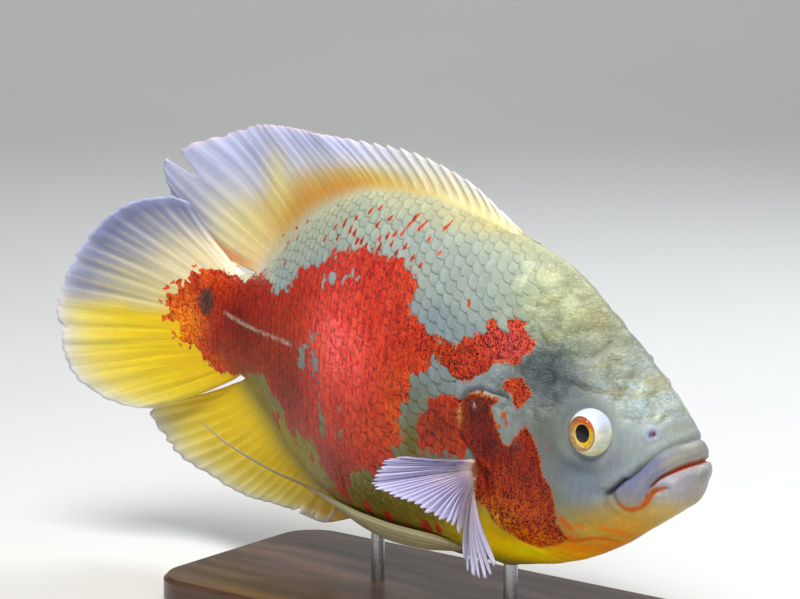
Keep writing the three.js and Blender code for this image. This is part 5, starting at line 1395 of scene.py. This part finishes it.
def eye_material():
    m, nt, out = nodes_of("eye_ball")
    N = Net(nt)
    loc = N.attr("local", "Vector")
    xyz = N.node("ShaderNodeSeparateXYZ", {0: loc})
    rr = N.attr("radial")
    zz = xyz.outputs[2]
    grain = N.noise(N.vec(loc, (.6, 2.2, 2.2)), 1, 3, .6)
    streak = N.noise(N.vec(loc, (.2, 1.1, 1.1), (2, 5, 1)), 1, 2, .6)
    up = N.step(N.math("ADD", zz, N.math("MULTIPLY", N.math("SUBTRACT", grain, .5), 3.0)), 1.2, 3.6)
    iris = N.mix(up, rgba("#f4c60a"), rgba("#e8641a"))
    iris = N.mix(N.step(streak, .5, .66, 0, .6), iris, rgba("#7a4c0a"))
    iris = N.mix(N.step(rr, 4.3, 5.2, 0, .8), iris, N.mix(N.step(zz, -1, 3), rgba("#d8c070"), rgba("#e07830")))
    iris = N.mix(N.step(rr, 3.7, 3.1), iris, rgba("#f8c424"))
    iris = N.mix(N.step(rr, 5.25, 5.5), iris, rgba("#b4501c"))
    scl = N.mix(N.step(N.noise(N.vec(loc, (.25, .25, .25)), 1, 3), .38, .7), rgba("#dcdcc6"), rgba("#aab4a4"))
    # bluish-lavender towards the top of the eye: a painted reflection of the light from above
    scl = N.mix(N.step(zz, .5, 7.0, 0, .85), scl, rgba("#c6d2f4"))
    scl = N.mix(N.step(zz, -2.0, -7.0, 0, .7), scl, rgba("#d8cc94"))
    scl = N.mix(N.step(rr, 6.9, 5.85, 0, .55), scl, rgba("#efe9d2"))
    ring = N.mix(N.step(N.math("ABSOLUTE", N.math("SUBTRACT", rr, 5.7)), .0, .3, .9, 0), scl, rgba("#b8501e"))
    ring = N.mix(N.step(xyz.outputs[0], 5.2, 6.0), scl, ring)
    c = N.mix(N.step(rr, 3.17, 3.05), iris, rgba("#020203"))
    c = N.mix(N.attr("isiris"), ring, c)
    bs = N.node("ShaderNodeBsdfPrincipled", {"Base Color": c, "Roughness": .28})
    bs.inputs["Coat Weight"].default_value = .1
    bs.inputs["Coat Roughness"].default_value = .08
    bs.inputs["Specular IOR Level"].default_value = .2
    bs.inputs["Subsurface Weight"].default_value = .1
    bs.inputs["Subsurface Scale"].default_value = .001
    nt.links.new(bs.outputs[0], out.inputs[0])
    return m


def cornea_material():
    m, nt, out = nodes_of("eye_clear_front")
    N = Net(nt)
    fr = N.node("ShaderNodeFresnel", {"IOR": 1.3})
    clear = N.node("ShaderNodeBsdfTransparent")
    gloss = N.node("ShaderNodeBsdfGlossy", {"Roughness": .05})
    mixn = N.node("ShaderNodeMixShader", {0: N.math("MULTIPLY", fr.outputs[0], .5), 1: clear.outputs[0], 2: gloss.outputs[0]})
    nt.links.new(mixn.outputs[0], out.inputs[0])
    return m


EYE_MAT, CORNEA_MAT = eye_material(), cornea_material()
for side, label in ((1, "right"), (-1, "left")):
    lv, lf = eye_ball()
    rest_v = eye_frame(side, lv)
    f2 = face_out(rest_v, lf)
    # the pose turns w into -y, which keeps the hand of the frame
    me = raw_mesh(f"eye_{label}_ball", posed(rest_v), face_out(posed(rest_v), f2))
    set_attr(me, "local", "FLOAT_VECTOR", lv)
    rr = np.hypot(lv[:, 1], lv[:, 2])
    set_attr(me, "radial", "FLOAT", rr)
    set_attr(me, "isiris", "FLOAT", ((lv[:, 0] > 4) & (rr < IRIS_R - .2)).astype(float))
    shade_smooth(me)
    me.materials.append(EYE_MAT)
    ball = put(f"eye_{label}_ball", me)
    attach(ball, "root")
    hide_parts(f"eye_{label}")
    cv, cf = cornea_shell()
    cr = eye_frame(side, cv)
    me = raw_mesh(f"eye_{label}_cornea", posed(cr), face_out(posed(cr), cf))
    shade_smooth(me)
    me.materials.append(CORNEA_MAT)
    cor = put(f"eye_{label}_cornea", me)
    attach(cor, "root")


# ------------------------------------------------------------------ stand
def wood_material():
    m, nt, out = nodes_of("stand_dark_oiled_wood")
    N = Net(nt)
    co = N.node("ShaderNodeTexCoord").outputs["Object"]
    long = N.vec(co, (6, 90, 90))
    warp = N.node("ShaderNodeVectorMath", {0: long, 1: N.node("ShaderNodeVectorMath", {0: N.noise(N.vec(co, (9, 22, 22)), 1, 2, .5, "Color"), "Scale": 2.2}, operation="SCALE").outputs[0]}, operation="ADD").outputs[0]
    grain = N.noise(warp, 1, 4, .6)
    pores = N.noise(N.vec(co, (60, 900, 900)), 1, 2, .6)
    c = N.mix(N.step(grain, .3, .7), rgba("#2c1a10"), rgba("#5a3a24"))
    c = N.mix(N.step(pores, .56, .66, 0, .6), c, rgba("#1a0f0a"))
    bump = N.node("ShaderNodeBump", {"Height": N.math("ADD", N.math("MULTIPLY", grain, .5), N.math("MULTIPLY", pores, -.4)), "Strength": .35, "Distance": .0004})
    bs = N.node("ShaderNodeBsdfPrincipled", {"Base Color": c, "Roughness": N.step(grain, .3, .7, .42, .32), "Normal": bump.outputs[0]})
    bs.inputs["Coat Weight"].default_value = .2
    bs.inputs["Coat Roughness"].default_value = .25
    nt.links.new(bs.outputs[0], out.inputs[0])
    return m


def steel_material():
    m, nt, out = nodes_of("stand_brushed_steel")
    N = Net(nt)
    co = N.node("ShaderNodeTexCoord").outputs["Object"]
    br = N.noise(N.vec(co, (300, 300, 6000)), 1, 2, .6)
    bump = N.node("ShaderNodeBump", {"Height": br, "Strength": .2, "Distance": .0001})
    c = N.mix(br, rgba("#a9adb2"), rgba("#c6c9cc"))
    bs = N.node("ShaderNodeBsdfPrincipled", {"Base Color": c, "Roughness": N.step(br, .3, .7, .24, .36), "Normal": bump.outputs[0]})
    bs.inputs["Metallic"].default_value = 1
    nt.links.new(bs.outputs[0], out.inputs[0])
    return m


WOOD, STEEL = wood_material(), steel_material()
for n, mat in (("stand_base", WOOD), ("stand_rod_front", STEEL), ("stand_rod_rear", STEEL)):
    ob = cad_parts[n]
    if not ob.material_slots:
        ob.data.materials.append(mat)
    for sl in ob.material_slots:
        sl.material = mat


# ------------------------------------------------------------------ stage
def stage_set():
    m, nt, out = nodes_of("studio_floor")
    N = Net(nt)
    co = N.node("ShaderNodeTexCoord").outputs["Object"]
    c = N.mix(N.noise(N.vec(co, (3, 3, 3)), 1, 2), rgba("#cfd0cf"), rgba("#d6d6d4"))
    bs = N.node("ShaderNodeBsdfPrincipled", {"Base Color": c, "Roughness": .75})
    nt.links.new(bs.outputs[0], out.inputs[0])
    # floor that curves up into the backdrop behind the fish, seen from the camera
    az = math.radians(38)
    back = Vector((-math.sin(az), math.cos(az), 0))
    across = Vector((back.y, -back.x, 0))
    prof = [(-4, 0), (1.4, 0)] + [(1.4 + .9 * math.sin(t), .9 - .9 * math.cos(t)) for t in np.linspace(.12, math.pi / 2, 12)] + [(2.3, 4)]
    v = []
    for d, z in prof:
        for k in (-5, 5):
            q = back * d + across * k
            v.append((q.x, q.y, z))
    fcs = np.array([[2 * i, 2 * i + 1, 2 * i + 3, 2 * i + 2] for i in range(len(prof) - 1)])
    me = raw_mesh("studio_floor", np.array(v), [fcs])
    shade_smooth(me)
    me.materials.append(m)
    ob = put("studio_floor", me)


stage_set()
scene = bpy.context.scene
world = bpy.data.worlds.new("studio")
scene.world = world
world.use_nodes = True
bg = world.node_tree.nodes["Background"]
bg.inputs[0].default_value = (.93, .96, 1, 1)
bg.inputs[1].default_value = .24


def area(name, where, at, size, power, colour=(1, 1, 1)):
    d = bpy.data.lights.new(name, "AREA")
    d.shape, d.size, d.size_y = "RECTANGLE", size[0], size[1]
    d.energy, d.color = power, colour
    o = bpy.data.objects.new(name, d)
    o.location = where
    o.rotation_euler = (Vector(at) - Vector(where)).to_track_quat("-Z", "Y").to_euler()
    scene.collection.objects.link(o)


TARGET = Vector((-.00812, -.00634, .116))
area("key", (.10, -.40, 1.02), (0, 0, .12), (.6, .45), 14.0, (1, .985, .955))
area("fill", (.95, -.75, .42), (.03, 0, .1), (.8, .8), 2.2, (.94, .97, 1))
area("rim", (.1, .75, .75), (.05, 0, .13), (.7, .4), 6.0, (.9, .95, 1))
area("backdrop", (-.5, .7, 1.7), (-1.3, 1.9, .9), (1.4, .8), 11.0, (.96, .98, 1))

cam_data = bpy.data.cameras.new("camera")
cam_data.lens, cam_data.sensor_width, cam_data.sensor_fit = 129.07, 36, "HORIZONTAL"
cam_data.clip_start, cam_data.clip_end = .05, 20
cam = bpy.data.objects.new("camera", cam_data)
az, el = math.radians(38), math.radians(10.2)
back = Vector((math.sin(az) * math.cos(el), -math.cos(az) * math.cos(el), math.sin(el)))
cam.location = TARGET + back * 1.005
cam.rotation_mode = "QUATERNION"
cam.rotation_quaternion = (-back).to_track_quat("-Z", "Y")
scene.collection.objects.link(cam)
scene.camera = cam
scene.view_settings.view_transform = "Standard"
scene.view_settings.look = "None"
